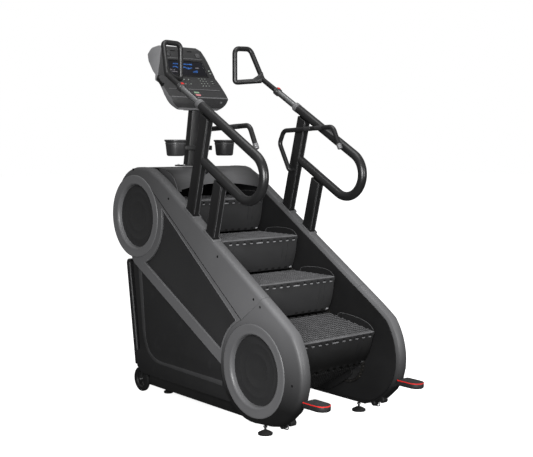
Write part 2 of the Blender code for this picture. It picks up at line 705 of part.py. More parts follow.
def button_normal(side):
    """The release button faces up and square to the rail."""
    return Vector((0, -sin(RAIL_ANGLE), cos(RAIL_ANGLE)))


def button_centre(side):
    end, direction = handle_frame(side)
    return end + direction * (COLLAR_START + COLLAR_STOP) / 2 + button_normal(side) * 0.0225


def button_shape(side, grow=0.0, sink=0.0):
    centre = button_centre(side)
    normal = button_normal(side)
    direction = handle_frame(side)[1]
    half = 0.0095 + grow
    profile = [(-half, -half), (half, -half), (half, half), (-half, half)]
    base = centre - normal * (0.004 + sink)
    return sweep([base, centre + normal * 0.0075], profile, up=direction)


def make_grip_bar(side):
    """Bent heart rate bar on the inner face of the rear post."""
    x = side * 0.326
    points = [(side * (POST_X[0] - GAP), 0.078, 1.447), (x, 0.078, 1.447), (x, 0.170, 1.616),
              (x, 0.130, 1.697), (x, 0.060, 1.699), (x, -0.318, 1.716), (x, -0.382, 1.585)]
    bar = sweep(round_corners(points, 0.045, 4), circle_profile(0.0145, 12), up=(0.0, 1.0, 0.2))
    add_object(f"grip_bar_{side_name(side)}", bar, "rail")


# ---------------------------------------------------------------- stairs and drive
def pin(number):
    """(Y, Z) of the chain pin under the foot of step number on the straight run, step 3 the lowest."""
    return IDLER + ALONG * (FIRST_PIN + (number - 3) * STEP_PITCH) + ACROSS * CHAIN_R


def step_outline():
    """Tread and riser from the side, level, with the tread's rear edge at (0, 0)."""
    nose = -TREAD_DEPTH
    foot = (nose + RISER_BACK, -RISER_DROP)
    front = [(nose, 0.0), (nose - 0.001, -0.014), (nose + 0.008, -0.034), (nose + 0.012, -0.075),
             (nose + 0.022, -0.130), (nose + 0.040, -0.180), (foot[0] - 0.006, foot[1] + 0.012)]
    back = [(foot[0] + 0.004, foot[1] + 0.018), (nose + 0.052, -0.174), (nose + 0.035, -0.127),
            (nose + 0.025, -0.074), (nose + 0.024, -0.024)]
    return front + back + [(-0.014, -0.020), (-0.009, 0.0)]


def guard_outline():
    """Curved end guard of a step, which stands 42 mm over the tread."""
    nose = -TREAD_DEPTH
    crest = [(0.006, 0.004), (0.022, 0.020), (0.050, 0.033), (0.095, 0.040), (0.150, 0.042),
             (0.215, 0.039), (0.285, 0.030), (0.302, 0.022), (0.308, 0.008)]
    return [(nose + y, z) for y, z in crest] + [(nose + 0.308, -0.012), (nose + 0.010, -0.012)]


def turned(outline, angle, pivot):
    """Turn a Y-Z outline about the X axis through (0, 0), then move it to pivot."""
    return [(pivot[0] + y * cos(angle) - z * sin(angle), pivot[1] + y * sin(angle) + z * cos(angle))
            for y, z in outline]


def make_step(number, pivot, tilt, origin):
    step = add_object(f"step_{number}", prism(turned(step_outline(), tilt, pivot), -TREAD_HALF, TREAD_HALF),
                      "step", origin=(0, *origin))
    for side in (-1, 1):
        guard = add_tool(f"step_guard_{number}_{side_name(side)}", prism(
            turned(guard_outline(), tilt, pivot), side * (TREAD_HALF - 0.005), side * (TREAD_HALF - 0.0001)))
        boolean(step, guard, "UNION")


def step_foot(pivot, tilt):
    return Vector(turned([(-TREAD_DEPTH + RISER_BACK, -RISER_DROP)], tilt, pivot)[0])


def make_stairs():
    for number in (3, 4, 5):
        pivot = pin(number) + ALONG * STEP_PITCH
        make_step(number, pivot, 0.0, pivot)
    make_step(2, pin(3), LOW_STEP_TILT, pin(3))
    hinge = step_foot(pin(3), LOW_STEP_TILT)
    make_step(1, hinge, FOLDED_STEP_TILT, hinge)


def make_chain(side):
    outer = belt_outline(IDLER, CHAIN_R + 0.008, DRIVE, CHAIN_R + 0.008, 18)
    inner = belt_outline(IDLER, CHAIN_R - 0.008, DRIVE, CHAIN_R - 0.008, 18)
    add_object(f"step_chain_{side_name(side)}",
               band_prism(outer, inner, side * CHAIN_X[0], side * CHAIN_X[1]), "chain")


ALTERNATOR = Vector((0.500, 0.520))
PULLEY_X = (0.3625, 0.3785)
DRIVE_PULLEY_R = 0.120
SMALL_PULLEY_R = 0.032
SHAFT_R = 0.0175


def shaft_profile(with_pulley):
    sprocket_r = CHAIN_R - 0.0096
    tooth_x = (CHAIN_X[0] + 0.001, CHAIN_X[1] - 0.001)
    right = [(tooth_x[0], SHAFT_R), (tooth_x[0], sprocket_r), (tooth_x[1], sprocket_r),
             (tooth_x[1], SHAFT_R), (0.3605, SHAFT_R), (0.3605, 0)]
    left = [(-x, r) for x, r in reversed(right)]
    if with_pulley:
        left = [(-PULLEY_X[1], 0), (-PULLEY_X[1], DRIVE_PULLEY_R), (-PULLEY_X[0], DRIVE_PULLEY_R),
                (-PULLEY_X[0], SHAFT_R)] + left[2:]
    return left + right


def make_drive():
    add_object("drive_shaft", lathe(shaft_profile(True), (0, *DRIVE), "X", 28), "steel", origin=(0, *DRIVE))
    add_object("idler_shaft", lathe(shaft_profile(False), (0, *IDLER), "X", 28), "steel",
               origin=(0, *IDLER))
    small = [(-PULLEY_X[1], 0), (-PULLEY_X[1], SMALL_PULLEY_R), (-PULLEY_X[0], SMALL_PULLEY_R),
             (-PULLEY_X[0], 0.012), (-0.3255, 0.012), (-0.3255, 0)]
    add_object("alternator_pulley", lathe(small, (0, *ALTERNATOR), "X", 20), "steel",
               origin=(0, *ALTERNATOR))
    body = [(-0.325, 0), (-0.325, 0.060), (-0.310, 0.082), (-0.190, 0.082), (-0.175, 0.060), (-0.175, 0)]
    alternator = add_object("alternator", lathe(body, (0, *ALTERNATOR), "X", 24), "frame")
    foot = add_tool("alternator_foot", box((-0.300, -0.200), (0.562, 0.584), (0.1205, 0.500)))
    boolean(alternator, foot, "UNION")
    low, high = ALTERNATOR, DRIVE
    outer = belt_outline(low, SMALL_PULLEY_R + 0.0045, high, DRIVE_PULLEY_R + 0.0045, 14)
    inner = belt_outline(low, SMALL_PULLEY_R * 1.012, high, DRIVE_PULLEY_R * 1.012, 14)
    add_object("drive_belt", band_prism(outer, inner, -PULLEY_X[1] + 0.002, -PULLEY_X[0] - 0.002),
               "rubber")


# ---------------------------------------------------------------- console and trays
CONSOLE_PROFILE = [(0.606, 1.832), (0.590, 1.845), (0.585, 1.872), (0.583, 1.908), (0.592, 1.917),
                   (0.640, 1.964), (0.727, 2.052), (0.762, 2.166), (0.792, 2.236), (0.822, 2.258),
                   (0.870, 2.264), (0.922, 2.252), (0.932, 2.207), (0.894, 2.160), (0.812, 2.094),
                   (0.762, 2.062), (0.752, 2.024), (0.706, 2.006), (0.668, 1.957), (0.642, 1.909),
                   (0.628, 1.861), (0.622, 1.836)]
MAST_FOOT = Vector((0.696, TOP_Z))
MAST_HEAD = Vector((0.632, 1.832))
MAST_HALF = (0.045, 0.025)              # half width and half depth of the mast


def console_front():
    """Half outline of the console from the front, as (X, Z)."""
    return [(0.0, 1.80), (0.105, 1.80), (0.158, 1.835), (0.200, 1.860), (0.223, 1.888), (0.236, 1.925),
            (0.239, 1.965), (0.239, 2.012), (0.232, 2.058), (0.210, 2.117), (0.189, 2.173), (0.173, 2.212),
            (0.153, 2.247), (0.125, 2.266), (0.0, 2.30)]


def make_console():
    housing = add_object("console_housing", prism(CONSOLE_PROFILE, -0.25, 0.25), "console")
    boss = add_tool("console_boss", box((-0.070, 0.070), (0.604, 0.676), (1.8318, 1.930)))
    boolean(housing, boss, "UNION")
    half = console_front()
    outline = half + [(-x, z) for x, z in reversed(half[1:-1])]
    boolean(housing, add_tool("console_outline", front_prism(outline, 0.50, 1.00)), "INTERSECT")

    screen_low = Vector((0.0, 0.731, 2.066))
    screen_high = Vector((0.0, 0.7605, 2.160))
    up = (screen_high - screen_low).normalized()
    out = Vector((0, -up[2], up[1]))
    pocket = slab(screen_low, up, out, (screen_high - screen_low).length, 0.170, 0.140, -0.012, 0.02)
    boolean(housing, add_tool("display_pocket", pocket))
    screen = slab(screen_low + up * 0.0006, up, out, (screen_high - screen_low).length - 0.0012,
                  0.1694, 0.1394, -0.0115, -0.002)
    add_object("console_display", screen, "display")

    shelf_up = Vector((0, 0.048, 0.047)).normalized()
    shelf_out = Vector((0, -shelf_up[2], shelf_up[1]))
    for name, slot, distance, half_width in (("stop_key", "red", 0.012, 0.020),
                                             ("start_key", "green", 0.036, 0.020)):
        foot = Vector((0, 0.592, 1.917)) + shelf_up * distance
        socket = slab(foot, shelf_up, shelf_out, 0.016, half_width, half_width, -0.009, 0.02)
        boolean(housing, add_tool(f"{name}_socket", socket))
        key_foot = foot + shelf_up * 0.0006
        key = slab(key_foot, shelf_up, shelf_out, 0.0148, half_width - 0.0006, half_width - 0.0006,
                   -0.0055, 0.002)
        add_object(name, key, slot, origin=key_foot)


def slab(foot, up, out, height, low_half, high_half, back, front):
    """Flat block standing on foot, leaning along up, between two depths along out."""
    bm = bmesh.new()
    rings = []
    for depth in (back, front):
        rings.append([bm.verts.new(foot + Vector((x, 0, 0)) + up * rise + out * depth)
                      for x, rise in ((-low_half, 0), (low_half, 0), (high_half, height), (-high_half, height))])
    bm.faces.new(rings[0])
    bm.faces.new(list(reversed(rings[1])))
    for index in range(4):
        following = (index + 1) % 4
        bm.faces.new((rings[0][index], rings[1][index], rings[1][following], rings[0][following]))
    return bm


def make_mast():
    half_width, half_depth = MAST_HALF
    outline = [(MAST_FOOT[0] - half_depth, MAST_FOOT[1] + GAP), (MAST_FOOT[0] + half_depth, MAST_FOOT[1] + GAP),
               (MAST_HEAD[0] + half_depth, 1.8308), (MAST_HEAD[0] - half_depth, 1.8308)]
    mast = add_object("console_mast", prism(outline, -half_width, half_width), "frame")
    flange = add_tool("mast_flange", box((-0.095, 0.095), (MAST_FOOT[0] - 0.050, MAST_FOOT[0] + 0.050),
                                         (TOP_Z + GAP, TOP_Z + 0.010)))
    boolean(mast, flange, "UNION")


TRAY_X, TRAY_Y, TRAY_Z = 0.198, 0.585, (1.535, 1.640)


def make_trays():
    """Cross bracket in front of the mast, with a cup tray at each end."""
    lean = (MAST_HEAD - MAST_FOOT)
    mast_y = MAST_FOOT[0] + lean[0] * (1.585 - MAST_FOOT[1]) / lean[1]
    front = mast_y - MAST_HALF[1] - 0.004
    bar = box((-TRAY_X + 0.078, TRAY_X - 0.078), (front - 0.030, front), (1.572, 1.602))
    bracket = add_object("tray_bracket", bar, "frame")
    for side in (-1, 1):
        centre = (side * TRAY_X, TRAY_Y, 0)
        low, high = TRAY_Z
        cup = [(low, 0), (low, 0.058), (high - 0.012, 0.066), (high - 0.012, 0.072), (high, 0.072),
               (high, 0.062), (low + 0.004, 0.054), (low + 0.004, 0)]
        add_object(f"cup_tray_{side_name(side)}", lathe(cup, centre, "Z", 28), "tray")


# ---------------------------------------------------------------- pads, feet and wheels
PAD_X = (0.320, 0.416)
PAD_Y = (-1.009, -0.8565)
PAD_Z = (0.230, 0.264)
PAD_ARM_X = (0.350, 0.378)


def pad_arm(side, grow=0.0):
    """Arm that carries a step-up pad, from the front of the base rail through the nose cover."""
    outline = [(BASE_START - GAP, BASE_Z[1] - 0.022 - grow), (BASE_START - GAP, BASE_Z[1] + grow),
               (-0.700, 0.180 + grow), (-0.865, 0.256 + grow), (-0.905, 0.256 + grow),
               (-0.905, 0.236 - grow), (-0.865, 0.231 - grow), (-0.690, 0.150 - grow)]
    return prism(outline, side * (PAD_ARM_X[0] - grow), side * (PAD_ARM_X[1] + grow))


def make_step_pad(side):
    centre_x = side * (PAD_X[0] + PAD_X[1]) / 2
    half_x = (PAD_X[1] - PAD_X[0]) / 2
    centre_y = PAD_Y[0] + 0.056
    bm = bmesh.new()
    outline = [(centre_x + half_x * cos(radians(a)), centre_y + 0.056 * sin(radians(a)))
               for a in range(180, 361, 18)]
    outline += [(centre_x + half_x, PAD_Y[1] - 0.012), (centre_x + half_x - 0.012, PAD_Y[1]),
                (centre_x - half_x + 0.012, PAD_Y[1]), (centre_x - half_x, PAD_Y[1] - 0.012)]
    face = bm.faces.new([bm.verts.new((x, y, PAD_Z[0])) for x, y in outline])
    grown = bmesh.ops.extrude_face_region(bm, geom=[face])
    verts = [element for element in grown["geom"] if isinstance(element, bmesh.types.BMVert)]
    bmesh.ops.translate(bm, verts=verts, vec=(0, 0, PAD_Z[1] - PAD_Z[0]))
    pad = add_object(f"step_pad_{side_name(side)}", bm, "rubber")
    boolean(pad, add_tool(f"pad_arm_{side_name(side)}", pad_arm(side)), "UNION")


def make_levelling_foot(name, x, y, radius, top):
    profile = [(0.0, 0), (0.0, radius), (0.010, radius), (0.020, radius * 0.55), (0.026, 0.010),
               (0.026, 0.0065), (top - GAP, 0.0065), (top - GAP, 0)]
    add_object(name, lathe(profile, (x, y, 0), "Z", 20), "rubber", origin=(x, y, 0))


def make_feet_and_wheels():
    for side in (-1, 1):
        name = side_name(side)
        make_levelling_foot(f"front_foot_{name}", side * 0.372, -0.5105, 0.042, BASE_Z[0] - 0.0105)
        make_levelling_foot(f"rear_foot_{name}", side * 0.270, 0.585, 0.030, 0.070 - 0.0105)
        profile = [(side * x, r) for x, r in
                   ((0.366, 0.0090), (0.366, 0.030), (0.370, 0.050), (0.368, 0.066), (0.370, WHEEL_R),
                    (0.388, WHEEL_R), (0.390, 0.066), (0.388, 0.050), (0.392, 0.030), (0.392, 0.0090))]
        add_object(f"transport_wheel_{name}", lathe(profile, (0, WHEEL_Y, WHEEL_R + 0.003), "X", 28),
                   "rubber", origin=(0, WHEEL_Y, WHEEL_R + 0.003))


# ---------------------------------------------------------------- build
def main():
    clear_scene()
    for name, (colour, roughness, metallic) in PALETTE.items():
        MATERIALS[name] = make_material(name, colour, roughness, metallic)
    make_base_frame()
    for side in (-1, 1):
        make_side_frame(side)
        make_side_covers(side)
        make_inner_wall(side)
        make_posts(side)
        make_handrail(side)
        make_extension_handle(side)
        make_grip_bar(side)
        make_chain(side)
        make_step_pad(side)
    make_hood()
    make_rear_cover()
    make_stairs()
    make_drive()
    make_mast()
    make_console()
    make_trays()
    make_feet_and_wheels()


main()
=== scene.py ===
"""Looks of the stair climber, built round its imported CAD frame.

Metres, +Z up, the user faces +Y. Side outlines are drawn in the Y-Z plane; "side" is -1 for the
left-hand piece and +1 for the right-hand one. CAD nodes whose shape is right keep it and get a
finish; the others are hidden and a finer piece stands for them.
"""

import json
from math import asin, atan2, cos, degrees, hypot, pi, radians, sin, sqrt, tan

import bmesh
import bpy
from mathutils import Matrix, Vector

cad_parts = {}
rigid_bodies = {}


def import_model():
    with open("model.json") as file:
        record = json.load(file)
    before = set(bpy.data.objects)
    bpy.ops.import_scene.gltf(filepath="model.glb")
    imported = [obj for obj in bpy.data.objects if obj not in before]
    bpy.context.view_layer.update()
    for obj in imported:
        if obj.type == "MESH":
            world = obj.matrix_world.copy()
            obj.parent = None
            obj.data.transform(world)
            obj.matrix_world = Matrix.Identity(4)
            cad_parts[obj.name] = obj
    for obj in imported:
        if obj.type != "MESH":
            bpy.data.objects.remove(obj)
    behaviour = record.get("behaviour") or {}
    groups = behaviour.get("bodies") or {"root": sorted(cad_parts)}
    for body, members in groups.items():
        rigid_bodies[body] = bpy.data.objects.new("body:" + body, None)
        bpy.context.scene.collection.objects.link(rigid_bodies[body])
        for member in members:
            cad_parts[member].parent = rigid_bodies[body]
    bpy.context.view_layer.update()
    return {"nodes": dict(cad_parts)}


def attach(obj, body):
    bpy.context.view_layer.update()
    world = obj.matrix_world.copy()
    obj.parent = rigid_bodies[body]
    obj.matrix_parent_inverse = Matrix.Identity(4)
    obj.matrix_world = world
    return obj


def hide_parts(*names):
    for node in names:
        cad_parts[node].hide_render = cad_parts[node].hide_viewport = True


for leftover in list(bpy.data.objects):
    bpy.data.objects.remove(leftover, do_unlink=True)

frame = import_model()
NODES = frame["nodes"]

# ---------------------------------------------------------------- dimensions shared with the CAD
HALF_WIDTH = 0.416
PANEL_FACE = 0.408          # outer face of the lower side panel
LOWER = Vector((-0.455, 0.3535))
UPPER = Vector((0.737, 1.150))
INCLINE = atan2(UPPER[1] - LOWER[1], UPPER[0] - LOWER[0])
ALONG = Vector((cos(INCLINE), sin(INCLINE)))
ACROSS = Vector((-sin(INCLINE), cos(INCLINE)))
DISC_R = 0.266
DISH_R = 0.199
SURROUND_R = 0.313
CUFF_R = 0.2925
TOP_Z = 1.466
TOP_SLOPE = 0.64
TOP_AT_0 = 1.1117
BAR_SLOPE = 0.553
BAR_TOP_AT_0 = 0.515
WINDOW_SLOPE = 0.813
WINDOW_AT_0 = 0.862
SEAM_TOP_Y = -0.530
TREAD_HALF = 0.3125
TREAD_DEPTH = 0.405
RISER_DROP = 0.226
RISER_BACK = 0.0675
STEP_PITCH = 0.407
CHAIN_R = 0.1332
CHAIN_X = (0.316, 0.330)
IDLER = LOWER - ALONG * 0.022 - ACROSS * 0.0312
DRIVE = UPPER - ACROSS * 0.0312
FIRST_PIN = 0.2874
LOW_STEP_TILT = radians(9)
FOLDED_STEP_TILT = radians(150)
POST_X = (0.358, 0.408)
POST_DEPTH = 0.076
POST_LEAN = 0.258
REAR_POST_Y0 = 0.459
FRONT_POST_Y0 = 0.233
RAIL_X = 0.383
RAIL_R = 0.0275
RAIL_ANGLE = radians(29.9)
RAIL_END = Vector((0.082, 1.8507))
LOOP_CENTRE = Vector((-0.378, 1.430))
LOOP_R = 0.135
STEEL_R = 0.020
GAP = 0.0005
WHEEL_Y = 0.728
WHEEL_R = 0.080
WHEEL_Z = 0.083
CONSOLE_PROFILE = [(0.606, 1.832), (0.590, 1.845), (0.585, 1.872), (0.583, 1.908), (0.592, 1.917),
                   (0.640, 1.964), (0.727, 2.052), (0.762, 2.166), (0.792, 2.236), (0.822, 2.258),
                   (0.870, 2.264), (0.922, 2.252), (0.932, 2.207), (0.894, 2.160), (0.812, 2.094),
                   (0.762, 2.062), (0.752, 2.024), (0.706, 2.006), (0.668, 1.957), (0.642, 1.909),
                   (0.628, 1.861), (0.622, 1.836)]
MAST_FOOT = Vector((0.696, TOP_Z))


# ---------------------------------------------------------------- materials
def add_node(tree, kind, inputs=None, **settings):
    """A shader node with its settings and inputs; an input is a value or another node's output."""
    node = tree.nodes.new(kind)
    for name, value in settings.items():
        setattr(node, name, value)
    for name, value in (inputs or {}).items():
        if isinstance(value, bpy.types.NodeSocket):
            tree.links.new(value, node.inputs[name])
        else:
            node.inputs[name].default_value = value
    return node


def mix_colour(tree, factor, first, second):
    node = add_node(tree, "ShaderNodeMix", {0: factor, 6: first, 7: second}, data_type="RGBA")
    return node.outputs[2]


def remap(tree, value, low, high, to_low, to_high):
    node = add_node(tree, "ShaderNodeMapRange", {"Value": value, "From Min": low, "From Max": high,
                                                 "To Min": to_low, "To Max": to_high})
    return node.outputs["Result"]


def noise(tree, coordinates, scale, detail=3.0):
    node = add_node(tree, "ShaderNodeTexNoise", {"Vector": coordinates, "Scale": scale, "Detail": detail})
    return node.outputs["Fac"]


def finish(name, dark, light, rough, cloud=7.0, grain=700.0, grain_height=0.00012, specular=0.5,
           metallic=0.0, wear=0.0, wear_colour=(0.2, 0.2, 0.2), stretch=(1, 1, 1), dust=0.0, painted_shade=None,
           painted_shade_axis="Z"):
    """A surface with clouded colour and gloss, a fine grain, sparse scuffs, a little dust on top faces and,
    where asked, painted shade.

    fade=(start, stop, kept_at_start, kept_at_stop) paints the colour towards black by world height, or
    by distance from the middle plane where painted_shade_axis is X. It stands in for shade and is fixed in
    the world, so a piece that moves changes tone. None leaves it out.
    """
    material = bpy.data.materials.new(name)
    material.use_nodes = True
    tree = material.node_tree
    shader = tree.nodes["Principled BSDF"]
    place = add_node(tree, "ShaderNodeTexCoord").outputs["Object"]
    mapped = add_node(tree, "ShaderNodeMapping", {"Vector": place, "Scale": stretch}).outputs["Vector"]
    clouds = noise(tree, mapped, cloud, 5.0)
    colour = mix_colour(tree, remap(tree, clouds, 0.35, 0.65, 0.0, 1.0), (*dark, 1.0), (*light, 1.0))
    geometry = add_node(tree, "ShaderNodeNewGeometry")
    if wear:
        scratches = noise(tree, mapped, 16.0, 9.0)
        scuffed = remap(tree, scratches, 0.60, 0.74, 0.0, wear)
        colour = mix_colour(tree, scuffed, colour, (*wear_colour, 1.0))
    if dust:
        facing = add_node(tree, "ShaderNodeSeparateXYZ", {"Vector": geometry.outputs["Normal"]}).outputs["Z"]
        lying = remap(tree, facing, 0.55, 1.0, 0.0, dust)
        patch = remap(tree, noise(tree, mapped, 18.0), 0.35, 0.7, 0.2, 1.0)
        both = add_node(tree, "ShaderNodeMath", {0: lying, 1: patch}, operation="MULTIPLY").outputs[0]
        colour = mix_colour(tree, both, colour, (0.30, 0.29, 0.28, 1.0))
    # Painted shade: the colour is darkened towards black by world position.
    if painted_shade:
        along = add_node(tree, "ShaderNodeSeparateXYZ", {"Vector": geometry.outputs["Position"]})
        reach = add_node(tree, "ShaderNodeMath", {0: along.outputs[painted_shade_axis]}, operation="ABSOLUTE")
        kept = remap(tree, reach.outputs[0], *painted_shade)
        colour = mix_colour(tree, kept, (0.004, 0.004, 0.004, 1.0), colour)
    tree.links.new(colour, shader.inputs["Base Color"])
    gloss = remap(tree, noise(tree, mapped, cloud * 4.0), 0.3, 0.7, rough[0], rough[1])
    tree.links.new(gloss, shader.inputs["Roughness"])
    fine = noise(tree, mapped, grain, 2.0)
    bump = add_node(tree, "ShaderNodeBump", {"Height": fine, "Strength": 0.6, "Distance": grain_height})
    tree.links.new(bump.outputs["Normal"], shader.inputs["Normal"])
    shader.inputs["Specular IOR Level"].default_value = specular
    shader.inputs["Metallic"].default_value = metallic
    return material


def grey(value):
    return (value, value, value * 1.03)


def make_finishes():
    """Every finish by name."""
    # Painted shade darkens cover, nose, hood, step, lip and stud in world space: the cover towards its top,
    # the hood towards its ends, the others towards the floor.
    made = {
        "cover": finish("cover_plastic", grey(0.106), grey(0.116), (0.40, 0.48), cloud=2.5, grain=850,
                        specular=0.35, wear=0.1, wear_colour=grey(0.14), painted_shade=(1.50, 0.70, 0.42, 1.0)),
        "nose": finish("nose_plastic", grey(0.106), grey(0.116), (0.42, 0.50), cloud=2.5, grain=850,
                       specular=0.28, painted_shade=(0.18, 0.70, 0.03, 1.0)),
        "hood": finish("hood_plastic", grey(0.078), grey(0.086), (0.36, 0.44), cloud=2.5, grain=850,
                       specular=0.4, painted_shade=(0.34, 0.14, 0.12, 1.0), painted_shade_axis="X"),
        "bezel": finish("bezel_plastic", grey(0.104), grey(0.114), (0.36, 0.44), cloud=3.0, grain=900,
                        specular=0.35, wear=0.1, wear_colour=grey(0.16)),
        "panel": finish("panel_plastic", grey(0.0145), grey(0.0165), (0.44, 0.54), cloud=2.5, grain=620,
                        grain_height=0.0002, specular=0.2, wear=0.15, wear_colour=grey(0.04)),
        "upper_panel": finish("upper_panel_plastic", grey(0.021), grey(0.024), (0.42, 0.52), cloud=2.5,
                              grain=620, grain_height=0.0002, specular=0.25),
        "stripe": finish("stripe_plastic", grey(0.034), grey(0.039), (0.40, 0.50), specular=0.3),
        "frame": finish("frame_paint", grey(0.007), grey(0.009), (0.30, 0.38), cloud=4.0, grain=420,
                        grain_height=0.00005, specular=0.45, wear=0.1, wear_colour=grey(0.03)),
        "wall": finish("wall_plastic", grey(0.008), grey(0.011), (0.46, 0.58), cloud=2.5, grain=500,
                       specular=0.2, dust=0.05),
        "step": finish("step_plastic", grey(0.022), grey(0.026), (0.42, 0.54), cloud=3.0, grain=520,
                       grain_height=0.0002, specular=0.3, painted_shade=(0.36, 0.58, 0.0, 1.0)),
        # lip is a much lighter copy of the step plastic: painted highlight on the nosing lips and the hinge
        # knuckles.
        "lip": finish("lip_painted_highlight", grey(0.20), grey(0.26), (0.35, 0.45), cloud=12.0, specular=0.4,
                      painted_shade=(0.28, 0.60, 0.05, 1.0)),
        # stud is a lighter copy of the step plastic: painted highlight on the grip studs, the guard rims and
        # the nosing strip, with a little dust on top.
        "stud": finish("stud_painted_highlight", grey(0.078), grey(0.110), (0.36, 0.48), cloud=9.0, grain=900,
                       specular=0.35, dust=0.04, painted_shade=(0.28, 0.46, 0.05, 1.0)),
        # groove is near-black painted shade: the cover groove, the handle slot, the head vents and the sheet
        # under the hood; the cover screws use it too.
        "groove": finish("groove_shadow", grey(0.003), grey(0.005), (0.7, 0.85), specular=0.1),
        "rail": finish("rail_rubber", grey(0.0095), grey(0.0125), (0.28, 0.36), cloud=6.0, grain=1100,
                       grain_height=0.00010, specular=0.4),
        "collar": finish("collar_plastic", grey(0.10), grey(0.13), (0.26, 0.36), specular=0.5),
        "steel": finish("polished_steel", (0.34, 0.345, 0.35), (0.46, 0.465, 0.47), (0.20, 0.30), cloud=30,
                        grain=1600, grain_height=0.00003, metallic=1.0, stretch=(6, 1, 1)),
        "dull_steel": finish("zinc_steel", (0.20, 0.20, 0.21), (0.32, 0.32, 0.32), (0.30, 0.46), cloud=22,
                             metallic=1.0),
        "chain": finish("oiled_chain", (0.05, 0.048, 0.045), (0.11, 0.105, 0.10), (0.28, 0.5), cloud=60,
                        metallic=0.9),
        "rubber": finish("tyre_rubber", grey(0.006), grey(0.009), (0.5, 0.65), grain=480,
                         grain_height=0.0003, specular=0.25, dust=0.08),
        "pad": finish("pad_rubber", grey(0.018), grey(0.026), (0.55, 0.7), grain=380,
                      grain_height=0.0004, specular=0.3),
        "console": finish("console_plastic", grey(0.023), grey(0.027), (0.36, 0.46), cloud=4.0, grain=900,
                          specular=0.35),
        # console_side is a lighter copy of the console plastic: painted highlight on the ridge over the
        # display, the ledge and the speaker slats.
        "console_side": finish("console_ridge_painted_highlight", grey(0.085), grey(0.105), (0.26, 0.36), cloud=4.0,
                               specular=0.5),
        # console_flank is a much lighter copy of the console plastic: painted highlight on its sides and the
        # underside at the front.
        "console_flank": finish("console_flank_painted_highlight", grey(0.19), grey(0.23), (0.28, 0.38), cloud=4.0,
                                specular=0.5),
        "console_dark": finish("console_dark_plastic", grey(0.007), grey(0.010), (0.28, 0.38), specular=0.35),
        "tray": finish("tray_plastic", grey(0.022), grey(0.028), (0.32, 0.42), cloud=4.0, grain=700,
                       specular=0.45, wear=0.15, wear_colour=grey(0.08)),
        "red": finish("red_plastic", (0.50, 0.014, 0.012), (0.60, 0.024, 0.02), (0.30, 0.40), specular=0.5),
        "pink": finish("stop_key_plastic", (0.42, 0.14, 0.15), (0.50, 0.20, 0.21), (0.35, 0.45)),
        "green": finish("start_key_plastic", (0.15, 0.24, 0.16), (0.21, 0.31, 0.21), (0.35, 0.45)),
        "mark": finish("printed_mark", (0.20, 0.23, 0.20), (0.30, 0.33, 0.30), (0.5, 0.6)),
        "casting": finish("alternator_casting", (0.20, 0.20, 0.20), (0.30, 0.30, 0.29), (0.4, 0.6),
                          grain=260, grain_height=0.0006, metallic=0.8),
    }
    made["screen"] = glass_finish()
    made["lit_blue"] = lit_finish("screen_blue", (0.010, 0.040, 0.14), (0.03, 0.09, 0.26), 0.35)
    made["lit_grey"] = lit_finish("screen_grey", (0.08, 0.08, 0.09), (0.15, 0.14, 0.15), 0.2)
    return made


def glass_finish():
    return finish("display_glass", (0.006, 0.006, 0.008), (0.009, 0.009, 0.012), (0.16, 0.24),
                  grain=90, grain_height=0.00002, specular=0.35)


def lit_finish(name, dark, light, strength):
    """A lit patch of the display, a little uneven."""
    material = finish(name, dark, light, (0.3, 0.4), cloud=60, specular=0.2)
    tree = material.node_tree
    shader = tree.nodes["Principled BSDF"]
    tree.links.new(shader.inputs["Base Color"].links[0].from_socket, shader.inputs["Emission Color"])
    shader.inputs["Emission Strength"].default_value = strength
    return material


# ---------------------------------------------------------------- mesh helpers
def arc(centre, radius, start, stop, count):
    """Points on a circle in the Y-Z plane, from start to stop degrees, both ends included."""
    points = []
    for index in range(count + 1):
        angle = radians(start + (stop - start) * index / count)
        points.append((centre[0] + radius * cos(angle), centre[1] + radius * sin(angle)))
    return points


def skin(bm, rings, caps=True):
    """Faces between each ring of vertices and the next, with the two end rings capped."""
    for first, second in zip(rings, rings[1:]):
        for index in range(len(first)):
            following = (index + 1) % len(first)
            bm.faces.new((first[index], first[following], second[following], second[index]))
    if caps:
        bm.faces.new(list(reversed(rings[0])))
        bm.faces.new(rings[-1])
    return bm


def skin_loop(bm, rings):
    """Faces between the rings, and between the last and the first."""
    return skin(bm, rings + rings[:1], caps=False)


def prism(outline, x0, x1, bm=None):
    """Extrude a Y-Z outline along X."""
    bm = bm or bmesh.new()
    return skin(bm, [[bm.verts.new((x, y, z)) for y, z in outline] for x in (x0, x1)])


def front_prism(outline, y0, y1):
    """Extrude an X-Z outline along Y."""
    bm = bmesh.new()
    return skin(bm, [[bm.verts.new((x, y, z)) for x, z in outline] for y in (y0, y1)])


def loft(outlines):
    """Close a stack of (X-Y outline, z) rings into one body."""
    bm = bmesh.new()
    return skin(bm, [[bm.verts.new((x, y, z)) for x, y in outline] for outline, z in outlines])


def box(x, y, z):
    """A box from its (low, high) pairs."""
    return prism([(y[0], z[0]), (y[1], z[0]), (y[1], z[1]), (y[0], z[1])], x[0], x[1])


def lathe(profile, centre, axis, segments):
    """Turn a closed (distance along the axis, radius) profile round an axis, "X" or "Z"."""
    bm = bmesh.new()
    rings = []
    for along, radius in profile:
        count = 1 if radius == 0 else segments
        ring = []
        for index in range(count):
            angle = 2 * pi * index / segments
            u, v = radius * cos(angle), radius * sin(angle)
            offset = (along, u, v) if axis == "X" else (u, v, along)
            ring.append(bm.verts.new(Vector(centre) + Vector(offset)))
        rings.append(ring)
    for first, second in zip(rings, rings[1:] + rings[:1]):
        if len(first) == 1 and len(second) == 1:
            continue
        for index in range(segments):
            following = (index + 1) % segments
            corners = [first[index % len(first)], first[following % len(first)],
                       second[following % len(second)], second[index % len(second)]]
            bm.faces.new(list(dict.fromkeys(corners)))
    return bm


